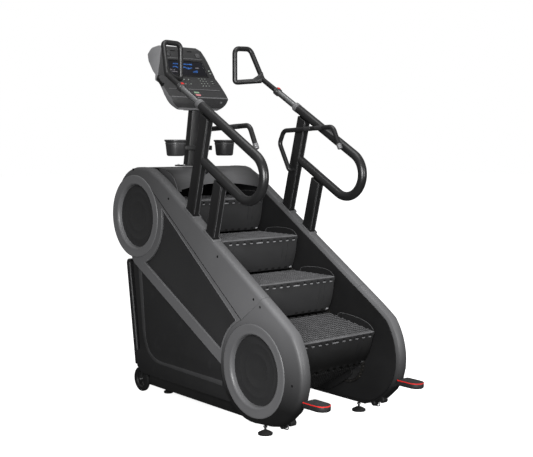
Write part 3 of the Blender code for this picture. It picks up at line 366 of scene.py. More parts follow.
def round_corners(points, radius, steps):
    """Replace each inner corner of a 3-D path by an arc of the given radius."""
    points = [Vector(point) for point in points]
    path = [points[0]]
    for before, corner, after in zip(points, points[1:], points[2:]):
        arm_in = (before - corner).normalized()
        arm_out = (after - corner).normalized()
        half = arm_in.angle(arm_out) / 2
        reach = min(radius / tan(half), 0.45 * (before - corner).length, 0.45 * (after - corner).length)
        true_radius = reach * tan(half)
        centre = corner + (arm_in + arm_out).normalized() * (true_radius / sin(half))
        start = corner + arm_in * reach - centre
        stop = corner + arm_out * reach - centre
        sweep = start.angle(stop)
        for index in range(steps + 1):
            share = index / steps
            turned = (start * sin((1 - share) * sweep) + stop * sin(share * sweep)) / sin(sweep)
            path.append(centre + turned)
    path.append(points[-1])
    return path


def sweep(path, profile, up=(1.0, 0.0, 0.0)):
    """Sweep a closed 2-D profile along a 3-D path, with flat ends. up fixes the profile's turn."""
    path = [Vector(point) for point in path]
    bm = bmesh.new()
    side = Vector(up)
    rings = []
    for index, point in enumerate(path):
        before = path[max(index - 1, 0)]
        after = path[min(index + 1, len(path) - 1)]
        into = (point - before).normalized() if index else (after - point).normalized()
        out = (after - point).normalized() if index < len(path) - 1 else into
        tangent = (into + out).normalized()
        side = (side - tangent * side.dot(tangent)).normalized()
        other = tangent.cross(side)
        rings.append([bm.verts.new(point + side * u + other * v) for u, v in profile])
    return skin(bm, rings)


def circle_profile(radius, sides):
    return [(radius * cos(2 * pi * i / sides), radius * sin(2 * pi * i / sides)) for i in range(sides)]


def belt_outline(low, low_radius, high, high_radius, count):
    """Outline of a belt round two circles, from the lower circle's far side round to the upper."""
    line = Vector(high) - Vector(low)
    heading = degrees(atan2(line[1], line[0]))
    wrap = degrees(asin((high_radius - low_radius) / line.length))
    lower = arc(low, low_radius, heading + 90 + wrap, heading + 270 - wrap, count)
    upper = arc(high, high_radius, heading - 90 - wrap, heading + 90 + wrap, count)
    return lower + upper


def offset_path(path, distance):
    """Move an open Y-Z path sideways, to its left for a positive distance."""
    path = [Vector(point) for point in path]
    moved = []
    for index, point in enumerate(path):
        before = path[max(index - 1, 0)]
        after = path[min(index + 1, len(path) - 1)]
        heading = (after - before).normalized()
        moved.append(point + Vector((-heading[1], heading[0])) * distance)
    return moved


def circle_cut(centre, radius, slope, height, near):
    """Angle in degrees at which the line z = height + slope * y meets a circle, nearest to near."""
    reach = hypot(1.0, slope) * radius
    tilt = atan2(slope, 1.0)
    level = height + slope * centre[0] - centre[1]
    base = asin(max(-1.0, min(1.0, level / reach)))
    choices = [degrees(base + tilt), degrees(pi - base + tilt)]
    return min(choices, key=lambda angle: abs((angle - near + 180) % 360 - 180))


def top_edge(y):
    return TOP_AT_0 + TOP_SLOPE * y


def side_name(side):
    return "left" if side < 0 else "right"


def window_outline(inset):
    """The upper side panel's outline."""
    surround = SURROUND_R + inset
    cuff = CUFF_R + 0.012 + inset
    upper_line = WINDOW_AT_0 - inset * hypot(1, WINDOW_SLOPE)
    lower_line = BAR_TOP_AT_0 + inset * hypot(1, BAR_SLOPE)
    start = circle_cut(UPPER, surround, WINDOW_SLOPE, upper_line, 168)
    stop = circle_cut(UPPER, surround, BAR_SLOPE, lower_line, 248)
    outline = arc(UPPER, surround, start, stop, 8)
    start = circle_cut(LOWER, cuff, BAR_SLOPE, lower_line, 13)
    stop = circle_cut(LOWER, cuff, WINDOW_SLOPE, upper_line, 60)
    return outline + arc(LOWER, cuff, start, stop, 5)


def slab(foot, up, out, height, low_half, high_half, back, front):
    """Flat block standing on foot, leaning along up, between two depths along out."""
    bm = bmesh.new()
    rings = []
    for depth in (back, front):
        corners = ((-low_half, 0), (low_half, 0), (high_half, height), (-high_half, height))
        rings.append([bm.verts.new(foot + Vector((x, 0, 0)) + up * rise + out * depth)
                      for x, rise in corners])
    return skin(bm, rings)


def turned(outline, angle, pivot):
    """Turn a Y-Z outline about the X axis through (0, 0), then move it to pivot."""
    return [(pivot[0] + y * cos(angle) - z * sin(angle), pivot[1] + y * sin(angle) + z * cos(angle))
            for y, z in outline]


def post_centre(foot_y, z):
    return foot_y - POST_LEAN * z


def post_outline(foot_y, low, high_left, high_right, grow):
    """Leaning post seen from the side; high_left and high_right are its two top heights."""
    half = POST_DEPTH / 2 * hypot(1, POST_LEAN) + grow
    return [(post_centre(foot_y, low) - half, low), (post_centre(foot_y, low) + half, low),
            (post_centre(foot_y, high_right) + half, high_right),
            (post_centre(foot_y, high_left) - half, high_left)]


def rail_line(y, drop=0.0):
    """Height of the handrail's upper straight at y, lowered square to the rail by drop."""
    return RAIL_END[1] + tan(RAIL_ANGLE) * (y - RAIL_END[0]) - drop / cos(RAIL_ANGLE)


def lower_rail_line(y):
    return rail_line(y, 2 * LOOP_R)


def step_outline():
    """Tread and riser from the side, level, with the tread's rear edge at (0, 0)."""
    nose = -TREAD_DEPTH
    foot = (nose + RISER_BACK, -RISER_DROP)
    front = [(nose, 0.0), (nose - 0.001, -0.014), (nose + 0.008, -0.034), (nose + 0.012, -0.075),
             (nose + 0.022, -0.130), (nose + 0.040, -0.180), (foot[0] - 0.006, foot[1] + 0.012)]
    back = [(foot[0] + 0.004, foot[1] + 0.018), (nose + 0.052, -0.174), (nose + 0.035, -0.127),
            (nose + 0.025, -0.074), (nose + 0.024, -0.024)]
    return front + back + [(-0.014, -0.020), (-0.009, 0.0)]


def guard_outline():
    """Curved end guard of a step, which stands 42 mm over the tread."""
    nose = -TREAD_DEPTH
    crest = [(0.006, 0.004), (0.022, 0.020), (0.050, 0.033), (0.095, 0.040), (0.150, 0.042),
             (0.215, 0.039), (0.285, 0.030), (0.302, 0.022), (0.308, 0.008)]
    return [(nose + y, z) for y, z in crest] + [(nose + 0.308, -0.012), (nose + 0.010, -0.012)]


def pin(number):
    """(Y, Z) of the chain pin under the foot of step number on the straight run, step 3 the lowest."""
    return IDLER + ALONG * (FIRST_PIN + (number - 3) * STEP_PITCH) + ACROSS * CHAIN_R


def step_foot(pivot, tilt):
    return Vector(turned([(-TREAD_DEPTH + RISER_BACK, -RISER_DROP)], tilt, pivot)[0])


def modifier_tree(name):
    tree = bpy.data.node_groups.new(name, "GeometryNodeTree")
    tree.interface.new_socket("Geometry", in_out="INPUT", socket_type="NodeSocketGeometry")
    tree.interface.new_socket("Geometry", in_out="OUTPUT", socket_type="NodeSocketGeometry")
    return tree, tree.nodes.new("NodeGroupInput").outputs[0], tree.nodes.new("NodeGroupOutput").inputs[0]


def weld_tree():
    """Joins the triangles of a CAD node and drops their stored normals."""
    tree, start, end = modifier_tree("weld")
    merged = add_node(tree, "GeometryNodeMergeByDistance", {"Geometry": start, "Distance": 0.00002})
    plain = add_node(tree, "GeometryNodeRemoveAttribute",
                     {"Geometry": merged.outputs[0], "Name": "custom_normal"})
    tree.links.new(plain.outputs[0], end)
    return tree


def smooth_tree(angle):
    """Smooth shading, with edges sharper than the angle kept sharp."""
    tree, start, end = modifier_tree(f"smooth_{angle}")
    smooth = add_node(tree, "GeometryNodeSetShadeSmooth", {"Geometry": start, "Shade Smooth": True})
    bend = add_node(tree, "GeometryNodeInputMeshEdgeAngle").outputs["Unsigned Angle"]
    sharp = add_node(tree, "FunctionNodeCompare", {"A": bend, "B": radians(angle)},
                     data_type="FLOAT", operation="GREATER_THAN").outputs[0]
    creased = add_node(tree, "GeometryNodeSetShadeSmooth",
                       {"Geometry": smooth.outputs[0], "Selection": sharp, "Shade Smooth": False},
                       domain="EDGE")
    tree.links.new(creased.outputs[0], end)
    return tree


def use_tree(item, tree):
    modifier = item.modifiers.new(tree.name, "NODES")
    modifier.node_group = tree


def bevel(item, width, segments, angle=30):
    modifier = item.modifiers.new("bevel", "BEVEL")
    modifier.width = width
    modifier.segments = segments
    modifier.limit_method = "ANGLE"
    modifier.angle_limit = radians(angle)


def dress(node, finish_name, edge=0.0, angle=35, segments=3):
    """Give a CAD node its finish, smooth shading and, where edge isn't 0, rounded edges."""
    item = NODES[node]
    item.data.materials.clear()
    item.data.materials.append(FINISHES[finish_name])
    use_tree(item, WELD)
    if edge:
        flat = item.modifiers.new("flat", "DECIMATE")
        flat.decimate_type = "DISSOLVE"
        flat.angle_limit = radians(0.6)
        bevel(item, edge, segments)
    use_tree(item, SMOOTH[angle])
    return item


def piece(name, bm, finish_name, body="frame", stands_for=(), edge=0.0, angle=35, segments=2):
    """A new piece drawn in world metres, riding on a body."""
    bmesh.ops.recalc_face_normals(bm, faces=bm.faces)
    mesh = bpy.data.meshes.new(name)
    bm.to_mesh(mesh)
    bm.free()
    mesh.materials.append(FINISHES[finish_name])
    item = bpy.data.objects.new(name, mesh)
    bpy.context.scene.collection.objects.link(item)
    if edge:
        bevel(item, edge, segments)
    use_tree(item, SMOOTH[angle])
    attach(item, body)
    if stands_for:
        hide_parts(*stands_for)
    return item


def cut(item, bm, operation="DIFFERENCE"):
    """Apply a Boolean to a piece's mesh at once, before its other modifiers."""
    bmesh.ops.recalc_face_normals(bm, faces=bm.faces)
    mesh = bpy.data.meshes.new("tool")
    bm.to_mesh(mesh)
    bm.free()
    tool = bpy.data.objects.new("tool", mesh)
    bpy.context.scene.collection.objects.link(tool)
    plain = bpy.data.objects.new("plain", item.data)
    bpy.context.scene.collection.objects.link(plain)
    modifier = plain.modifiers.new("cut", "BOOLEAN")
    modifier.object = tool
    modifier.operation = operation
    modifier.solver = "EXACT"
    bpy.context.view_layer.update()
    result = bpy.data.meshes.new_from_object(plain.evaluated_get(bpy.context.evaluated_depsgraph_get()))
    material = item.data.materials[0]
    item.data = result
    item.data.materials.clear()
    item.data.materials.append(material)
    bpy.data.objects.remove(plain, do_unlink=True)
    bpy.data.objects.remove(tool, do_unlink=True)
    bpy.data.meshes.remove(mesh)
    return item


def add_bmesh(target, part):
    mesh = bpy.data.meshes.new("part")
    part.to_mesh(mesh)
    part.free()
    target.from_mesh(mesh)
    bpy.data.meshes.remove(mesh)


def merged(*parts):
    """One bmesh that holds several, as separate bodies."""
    whole = bmesh.new()
    for part in parts:
        add_bmesh(whole, part)
    return whole


def chaikin(points, rounds):
    """Cut the corners of an open 2-D path, so that it reads as a curve. Its ends stay."""
    points = [Vector(point) for point in points]
    for _ in range(rounds):
        rounded = []
        for first, second in zip(points, points[1:]):
            rounded += [first.lerp(second, 0.25), first.lerp(second, 0.75)]
        points = [points[0]] + rounded[1:-1] + [points[-1]]
    return points


def bend(start, corner, end):
    """Points of a smooth curve from start to end that leans towards corner."""
    start, corner, end = Vector(start), Vector(corner), Vector(end)
    shares = [index / 8 for index in range(9)]
    return [start.lerp(corner, share).lerp(corner.lerp(end, share), share) for share in shares]


def screw(centre, axis, radius, height):
    """Dome headed screw with a hexagonal socket; centre lies on the surface it is driven into."""
    axis = Vector(axis).normalized()
    side = axis.orthogonal().normalized()
    other = axis.cross(side)
    bm = bmesh.new()
    rings = []
    hexagon = radius * 0.5
    profile = [(-0.0006, radius), (height * 0.45, radius), (height * 0.85, radius * 0.82),
               (height, radius * 0.62), (height, hexagon), (height * 0.2, hexagon)]
    for along, size in profile:
        flats = cos(radians(30)) if size == hexagon else 1.0
        ring = []
        for index in range(12):
            angle = 2 * pi * index / 12
            reach = size * (flats if index % 2 else 1.0)
            heading = side * cos(angle) + other * sin(angle)
            ring.append(bm.verts.new(Vector(centre) + axis * along + heading * reach))
        rings.append(ring)
    return skin(bm, rings)


# ---------------------------------------------------------------- side covers and panels
DISC_PROFILE = [(0.384, DISH_R + 0.004), (0.402, DISH_R + 0.006), (0.402, DISC_R - 0.006),
                (0.384, DISC_R - 0.004), (0.384, DISC_R), (0.413, DISC_R), (0.4165, DISC_R - 0.001),
                (0.4188, DISC_R - 0.004), (0.419, DISC_R - 0.007), (0.4184, DISC_R - 0.018),
                (0.4168, DISC_R - 0.034), (0.4162, DISH_R + 0.019), (0.4165, DISH_R + 0.014),
                (0.4155, DISH_R + 0.010), (0.411, DISH_R + 0.005), (0.400, DISH_R + 0.0005),
                (0.390, DISH_R - 0.0005), (0.386, DISH_R - 0.001)]


def make_disc(label, centre, side):
    """Round cover: a bezel ring, and a dark dish with faint turned steps behind it."""
    name = side_name(side)
    ring = lathe([(side * x, r) for x, r in DISC_PROFILE], (0, *centre), "X", 96)
    piece(f"{label}_disc_ring_{name}", ring, "bezel", stands_for=[f"{label}_disc_{name}"],
          angle=50)
    dish = [(0.3835, 0), (0.3835, DISH_R - 0.002), (0.3885, DISH_R - 0.0015)]
    for radius in (0.150, 0.095):
        dish += [(0.3892, radius + 0.004), (0.3898, radius), (0.3892, radius - 0.002)]
    dish += [(0.3900, 0.030), (0.3902, 0)]
    piece(f"{label}_disc_dish_{name}", lathe([(side * x, r) for x, r in dish], (0, *centre), "X", 96),
          "upper_panel", angle=50)


SCREW_DROP = 0.059          # side cover screws, under its top edge
GROOVE_ENDS = (0.556, -0.351)
GROOVE_SLOPE = 0.785
GROOVE_AT_0 = 0.902


def shell_screws():
    """(Y, Z) of a side cover's screws: over the upper disc, under the top edge, and on the nose."""
    beside_seam = (SEAM_TOP_Y + 0.069, SEAM_TOP_Y + 0.013)
    spots = [(y, top_edge(y) - SCREW_DROP) for y in (0.354, -0.136) + beside_seam]
    return [(UPPER[0] + 0.014, TOP_Z - 0.017)] + spots + [(LOWER[0] - 0.326, LOWER[1] - 0.022)]


def stripe_outline():
    """Band along the lower panel's rear and bottom edges, with a soft corner."""
    outer = [(0.722, 0.925)] + bend((0.671, 0.430), (0.6505, 0.230), (0.475, 0.227)) + [(-0.165, 0.214)]
    inner = [(0.682, 0.905)] + bend((0.637, 0.410), (0.620, 0.248), (0.455, 0.2465)) + [(-0.165, 0.243)]
    return [tuple(point) for point in outer + inner[::-1]]


def blunted(outline, reach):
    """Cut the sharp corners off a closed Y-Z outline, at most reach from each one."""
    points = [Vector(point) for point in outline]
    result = []
    for before, here, after in zip(points[-1:] + points[:-1], points, points[1:] + points[:1]):
        back, ahead = before - here, after - here
        if (-back).angle(ahead) < radians(25):
            result.append(here)
            continue
        result.append(here + back.normalized() * min(reach, back.length * 0.4))
        result.append(here + ahead.normalized() * min(reach, ahead.length * 0.4))
    return result


def flat_strip(path, width, thickness, x, side):
    """A thin strip along a Y-Z path on the plane |X| = x, standing thickness proud with eased edges."""
    left = offset_path(path, width / 2)
    right = offset_path(path, -width / 2)
    inner_left = offset_path(path, width / 2 - thickness)
    inner_right = offset_path(path, -width / 2 + thickness)
    bm = bmesh.new()
    rows = []
    for points, height in ((left, -0.0006), (inner_left, thickness), (inner_right, thickness),
                           (right, -0.0006)):
        rows.append([bm.verts.new((side * (x + height), *point)) for point in points])
    for first, second in zip(rows, rows[1:] + rows[:1]):
        for index in range(len(first) - 1):
            bm.faces.new((first[index], first[index + 1], second[index + 1], second[index]))
    bm.faces.new([row[0] for row in rows])
    bm.faces.new([row[-1] for row in reversed(rows)])
    return bm


def make_side_trim(side):
    name = side_name(side)
    stripe = prism(stripe_outline(), side * (PANEL_FACE - 0.0004), side * (PANEL_FACE + 0.0012))
    piece(f"panel_stripe_{name}", stripe, "stripe", edge=0.0007)
    # The cover groove is a thin dark strip standing proud: painted shade.
    groove = [(y, GROOVE_AT_0 + GROOVE_SLOPE * y) for y in GROOVE_ENDS]
    piece(f"cover_groove_{name}", flat_strip(groove, 0.0050, 0.0004, HALF_WIDTH, side), "groove")
    parts = []
    for y, z in shell_screws():
        rounded_edge = z < 0.4 or z > 1.4
        root = -0.007 if rounded_edge else -0.003
        head = [(root, 0), (root, 0.0072), (0.0004, 0.0072), (0.0009, 0.0056), (0.0012, 0)]
        parts.append(lathe([(side * (HALF_WIDTH + out), r) for out, r in head], (0, y, z), "X", 20))
    piece(f"cover_screws_{name}", merged(*parts), "groove")
    # raised lip round the window
    lip = blunted(blunted(window_outline(-0.004), 0.010), 0.004)
    lip.append(lip[0])
    piece(f"window_lip_{name}", flat_strip(lip, 0.0060, 0.0012, HALF_WIDTH, side), "bezel")


def make_post_collar(label, foot_y, side):
    """Soft lip where a post goes into the cover's top band."""
    half = POST_DEPTH / 2 * hypot(1, POST_LEAN)
    y = (foot_y - POST_LEAN * TOP_AT_0) / (1 + POST_LEAN * TOP_SLOPE)
    low_x, high_x = POST_X
    corners = [(low_x, -half), (high_x, -half), (high_x, half), (low_x, half)]
    section = [(0.0015, -0.004), (0.0015, 0.0035), (0.0045, 0.0045), (0.0075, 0.0030), (0.0090, -0.004)]
    bm = bmesh.new()
    rings = []
    for grow, lift in section:
        outline = []
        for x, dy in corners:
            sign_x = 1 if x == high_x else -1
            sign_y = 1 if dy > 0 else -1
            for turn in range(4):
                angle = radians(turn * 30)
                shares = (cos(angle), sin(angle))
                share_x, share_y = shares if sign_x * sign_y > 0 else shares[::-1]
                outline.append((x + sign_x * grow * share_x, dy + sign_y * grow * share_y))
        rings.append([bm.verts.new((side * x, y + dy, top_edge(y + dy) + lift)) for x, dy in outline])
    piece(f"{label}_post_collar_{side_name(side)}", skin_loop(bm, rings), "cover")


def make_post_highlight_lines(label, foot_y, line, side):
    """Two light strips down the front face of a post, from the rail to the collar: painted highlight lines.
    """
    half = POST_DEPTH / 2 * hypot(1, POST_LEAN)
    low, high = 1.0, 1.3
    for _ in range(20):     # settles on the heights where the post's front face meets both ends
        low = top_edge(post_centre(foot_y, low) - half) + 0.012
        high = line(post_centre(foot_y, high) - half) - 0.040
    face = [post_centre(foot_y, height) - half for height in (low, high)]
    outline = [(face[0] - 0.0009, low), (face[0] + 0.0010, low), (face[1] + 0.0010, high),
               (face[1] - 0.0009, high)]
    highlight_lines = bmesh.new()
    for inset in (0.0085, 0.0415):
        prism(outline, side * (POST_X[1] - inset), side * (POST_X[1] - inset - 0.0018), highlight_lines)
    piece(f"{label}_post_highlight_lines_{side_name(side)}", highlight_lines, "bezel")


def dress_covers():
    for side in (-1, 1):
        name = side_name(side)
        dress(f"side_shell_{name}", "cover", angle=35)
        dress(f"nose_cover_{name}", "nose", angle=35)
        dress(f"upper_panel_{name}", "upper_panel", edge=0.0012)
        dress(f"lower_panel_{name}", "panel", edge=0.0015)
        dress(f"inner_wall_{name}", "wall")
        make_disc("upper", UPPER, side)
        make_disc("lower", LOWER, side)
        make_side_trim(side)
        for label, foot_y, line in (("rear", REAR_POST_Y0, rail_line),
                                    ("front", FRONT_POST_Y0, lower_rail_line)):
            make_post_collar(label, foot_y, side)
            make_post_highlight_lines(label, foot_y, line, side)
    dress("hood", "hood")
    for side in (-1, 1):
        arch = [(0.364, 1.316), (0.3735, 1.350), (0.394, 1.389), (0.431, 1.422), (0.486, 1.445),
                (0.56, 1.457)]
        foot = [(0.56, top_edge(0.56) - 0.030), (0.364, top_edge(0.364) - 0.026)]
        # The hood's ends take the darker stripe finish: painted shade.
        end = prism(chaikin(arch, 1) + foot, side * 0.3262, side * 0.3418)
        piece(f"hood_end_{side_name(side)}", end, "stripe", edge=0.003, segments=3)
    # A thin near-black sheet under the hood: painted shade.
    shadow_arc = arc(UPPER, 0.236, 100, -72, 24)
    shadow_arc += reversed(arc(UPPER, 0.232, 100, -72, 24))
    piece("hood_shadow_sheet", prism(shadow_arc, -0.3325, 0.3325), "groove")


# ---------------------------------------------------------------- frame, feet and wheels
def dress_frame():
    dress("base_frame", "frame", edge=0.003)
    dress("console_mast", "frame", edge=0.003)
    dress("tray_bracket", "frame", edge=0.003)
    dress("alternator", "casting", angle=50)
    dress("drive_belt", "rubber")
    dress("drive_shaft", "dull_steel", angle=50)
    dress("idler_shaft", "dull_steel", angle=50)
    dress("alternator_pulley", "dull_steel", angle=50)
    for side in (-1, 1):
        name = side_name(side)
        dress(f"side_frame_{name}", "frame", edge=0.0015)
        for label in ("front", "rear"):
            dress(f"{label}_post_{name}", "frame", edge=0.007, segments=4)
            dress(f"{label}_foot_{name}", "rubber", angle=50)
        make_wheel(side)
        make_chain_links(side)
        make_bumpers(side)
    make_rear_details()


def make_wheel(side):
    name = side_name(side)
    tyre = [(0.3665, 0.052), (0.3665, 0.064), (0.3675, 0.0765), (0.3695, WHEEL_R - 0.0008), (0.3725, WHEEL_R),
            (0.3770, WHEEL_R), (0.3778, WHEEL_R - 0.0012), (0.3802, WHEEL_R - 0.0012), (0.3810, WHEEL_R),
            (0.3855, WHEEL_R), (0.3885, WHEEL_R - 0.0008), (0.3905, 0.0765), (0.3915, 0.064), (0.3915, 0.052)]
    centre = (0, WHEEL_Y, WHEEL_Z)
    piece(f"wheel_tyre_{name}", lathe([(side * x, r) for x, r in tyre], centre, "X", 64), "rubber",
          body=f"transport_wheel_{name}", stands_for=[f"transport_wheel_{name}"])
    hub = [(0.3670, 0.0092), (0.3665, 0.016), (0.3700, 0.018), (0.3740, 0.026), (0.3745, 0.044),
           (0.3700, 0.0475), (0.3675, 0.0515), (0.3905, 0.0515), (0.3880, 0.0475), (0.3835, 0.044),
           (0.3840, 0.026), (0.3880, 0.018), (0.3925, 0.016), (0.3920, 0.0092)]
    rib_parts = [lathe([(side * x, r) for x, r in hub], centre, "X", 48)]
    for index in range(6):
        angle = 2 * pi * index / 6
        out = Vector((0, cos(angle), sin(angle)))
        across = Vector((0, -sin(angle), cos(angle)))
        corners = ((0.019, -0.0030), (0.019, 0.0030), (0.046, 0.0022), (0.046, -0.0022))
        bm = bmesh.new()
        rings = []
        for x in (0.3705, 0.3875):
            root = Vector(centre) + Vector((side * x, 0, 0))
            rings.append([bm.verts.new(root + out * reach + across * half) for reach, half in corners])
        rib_parts.append(skin(bm, rings))
    piece(f"wheel_hub_{name}", merged(*rib_parts), "frame", body=f"transport_wheel_{name}")
    bolt = screw((side * 0.3938, WHEEL_Y, WHEEL_Z), (side, 0, 0), 0.0075, 0.004)
    piece(f"wheel_bolt_{name}", bolt, "dull_steel")


def make_chain_links(side):
    """Outer link plates with their rollers, laid along the CAD chain's loop."""
    middle = [Vector(point) for point in belt_outline(IDLER, CHAIN_R, DRIVE, CHAIN_R, 18)]
    loop = middle + [middle[0]]
    lengths = [(b - a).length for a, b in zip(loop, loop[1:])]
    total = sum(lengths)
    count = int(total / 0.0254 / 2) * 2
    points = []
    segment, walked = 0, 0.0
    for index in range(count):
        target = total * index / count
        while walked + lengths[segment] < target:
            walked += lengths[segment]
            segment += 1
        points.append(loop[segment].lerp(loop[segment + 1], (target - walked) / lengths[segment]))
    whole = bmesh.new()
    low, high = CHAIN_X
    for index in range(count):
        here, there = points[index], points[(index + 1) % count]
        ahead = (there - here).normalized()
        up = Vector((-ahead[1], ahead[0]))
        outer = index % 2 == 0
        plates = ((low, low + 0.0015), (high - 0.0015, high)) if outer else (
            (low + 0.002, low + 0.0035), (high - 0.0035, high - 0.002))
        outline = []
        for centre, facing in ((here, -1), (there, 1)):
            for turn in range(5):
                angle = radians(-90 + 45 * turn)
                across = sin(angle) * facing
                outline.append(centre + ahead * (0.0078 * cos(angle) * facing) + up * (0.0078 * across))
        waist = here.lerp(there, 0.5)
        shape = outline[:5] + [waist + up * 0.0056 * -1] + outline[5:] + [waist + up * 0.0056]
        shape = sorted(shape, key=lambda p: atan2((p - waist).dot(up), (p - waist).dot(ahead)))
        for x0, x1 in plates:
            prism([tuple(p) for p in shape], side * x0, side * x1, whole)
        roller = [(here + Vector((cos(radians(a)), sin(radians(a)))) * 0.0058) for a in range(0, 360, 45)]
        prism([tuple(p) for p in roller], side * (low + 0.0036), side * (high - 0.0036), whole)
    piece(f"chain_links_{side_name(side)}", whole, "chain", stands_for=[f"step_chain_{side_name(side)}"])


def make_bumpers(side):
    """Rubber bumper and wire guard under the nose cover."""
    name = side_name(side)
    x = side * 0.362
    parts = []
    for y, z, radius in ((-0.722, 0.112, 0.019), (-0.655, 0.078, 0.015)):
        profile = [(-0.020, 0), (-0.020, radius * 0.7), (-0.016, radius), (0.016, radius),
                   (0.020, radius * 0.7), (0.020, 0)]
        parts.append(lathe(profile, (x, y, z), "X", 24))
    piece(f"nose_bumpers_{name}", merged(*parts), "rubber")
    route = [(x, -0.690, 0.098), (x, -0.693, 0.066), (x, -0.630, 0.061), (x, -0.622, 0.086)]
    wire = round_corners(route, 0.010, 4)
    piece(f"nose_wire_{name}", sweep(wire, circle_profile(0.0032, 10)), "dull_steel")
    nut_x, nut_y, nut_z, nut_r = side * 0.372, -0.5105, 0.040, 0.0125
    corners = [radians(turn) for turn in range(0, 360, 60)]
    hexagon = [(nut_x + nut_r * cos(angle), nut_y + nut_r * sin(angle)) for angle in corners]
    piece(f"front_foot_nut_{name}", loft([(hexagon, nut_z), (hexagon, nut_z + 0.008)]), "dull_steel",
          body=f"front_foot_{name}", edge=0.0012)


REAR_TOP = Vector((0.8875, 0.790))
REAR_FOOT = Vector((0.8020, 0.172))


def rear_point(share, proud):
    """A point over the rear cover's sloping face, share of the way up from its foot."""
    line = REAR_TOP - REAR_FOOT
    out = Vector((line[1], -line[0])).normalized()
    return REAR_FOOT.lerp(REAR_TOP, share) + out * proud


def make_rear_cover():
    """Leaning tray behind the machine, with a rounded top corner."""
    outer = [(0.8555, 0.862), (0.862, 0.8625), (0.874, 0.8605), (0.884, 0.8540), (0.8905, 0.8440),
             (0.8930, 0.8320), (0.8875, 0.790), (0.8020, 0.172), (0.7480, 0.172)]
    inner = [(0.8400, 1.00), (0.8780, 1.00), (0.8780, 0.785), (0.7965, 0.179), (0.7300, 0.179)]
    cover = piece("rear_tray", prism(outer, -0.3825, 0.3825), "panel", stands_for=["rear_cover"])
    cut(cover, prism([(0.8420, 0.985), (0.8950, 0.985), (0.8900, 0.820), (0.8500, 0.820)], -0.3310, 0.3310),
        "UNION")
    cut(cover, prism(inner, -0.3240, 0.3240))
    cut(cover, prism([(0.780, 0.852), (0.8800, 0.852), (0.7965, 0.179), (0.680, 0.179)], -0.3790, 0.3790))
    cover.modifiers.clear()
    bevel(cover, 0.004, 3)
    use_tree(cover, SMOOTH[35])


def make_rear_details():
    make_rear_cover()
    slats = []
    for column in (-1, 1):
        for index in range(9):
            foot = 0.30 + 0.028 * index
            outline = [rear_point(foot, 0.0), rear_point(foot + 0.004, 0.0035), rear_point(foot + 0.012, 0.0)]
            slats.append(prism(outline, column * 0.06, column * 0.26))
    piece("rear_vents", merged(*slats), "panel")
    screws = []
    for x in (-0.36, 0.36):
        for share in (0.06, 0.5, 0.94):
            point = rear_point(share, 0.0)
            screws.append(screw((x, *point), (0, 0.993, -0.115), 0.0065, 0.0035))
    piece("rear_screws", merged(*screws), "dull_steel")
    for side in (-1, 1):
        path = [(side * 0.386, 0.7705, 0.27), (side * 0.386, 0.8165, 0.60), (side * 0.386, 0.8510, 0.838)]
        piece(f"rear_rail_{side_name(side)}", sweep(path, circle_profile(0.0065, 16)), "stripe")


# ---------------------------------------------------------------- handrails, handles and grip bars
# distances along the handle's slide, from the handrail's end
COLLAR_START, COLLAR_STOP = 0.185, 0.217
HANDLE_NECK = 0.375
HANDLE_INSIDE = 0.130


def handle_frame(side):
    return Vector((side * RAIL_X, *RAIL_END)), Vector((0, cos(RAIL_ANGLE), sin(RAIL_ANGLE)))


def ring_round(start, direction, stations, sides=32):
    """A turned shape about any line: stations are (distance, radius), closed into a ring."""
    direction = Vector(direction).normalized()
    side = Vector((1, 0, 0))
    other = direction.cross(side)
    bm = bmesh.new()
    rings = []
    for along, radius in stations:
        middle = Vector(start) + direction * along
        rings.append([bm.verts.new(middle + side * u + other * v) for u, v in circle_profile(radius, sides)])
    return skin_loop(bm, rings)


def make_handrail(side):
    name = side_name(side)
    heading = degrees(RAIL_ANGLE)
    loop = arc(LOOP_CENTRE, LOOP_R, heading + 90, heading + 270, 28)
    stop_y = REAR_POST_Y0 - POST_LEAN * 1.50 - 0.01
    path = [tuple(RAIL_END)] + loop + [(stop_y, lower_rail_line(stop_y))]
    points = [(side * RAIL_X, y, z) for y, z in path]
    rail = piece(f"rail_tube_{name}", sweep(points, circle_profile(RAIL_R, 32)), "rail",
                 stands_for=[f"handrail_{name}"])
    cut(rail, prism(post_outline(REAR_POST_Y0, 1.2, 1.7, 1.7, grow=GAP), side * 0.34, side * 0.43))
    end, direction = handle_frame(side)
    cut(rail, sweep([end + direction * 0.02, end - direction * 0.27], circle_profile(STEEL_R + 0.0008, 32)))
    collar = [(-0.034, RAIL_R + 0.0002), (-0.032, RAIL_R + 0.0014), (-0.020, RAIL_R + 0.0014),
              (-0.0185, RAIL_R + 0.0006), (-0.0165, RAIL_R + 0.0006), (-0.015, RAIL_R + 0.0014),
              (-0.002, RAIL_R + 0.0014), (0.0005, RAIL_R), (0.0030, RAIL_R - 0.002),
              (0.0032, STEEL_R + 0.0012), (-0.030, STEEL_R + 0.0012), (-0.034, RAIL_R - 0.002)]
    piece(f"rail_collar_{name}", ring_round(end, direction, collar), "collar", angle=30)


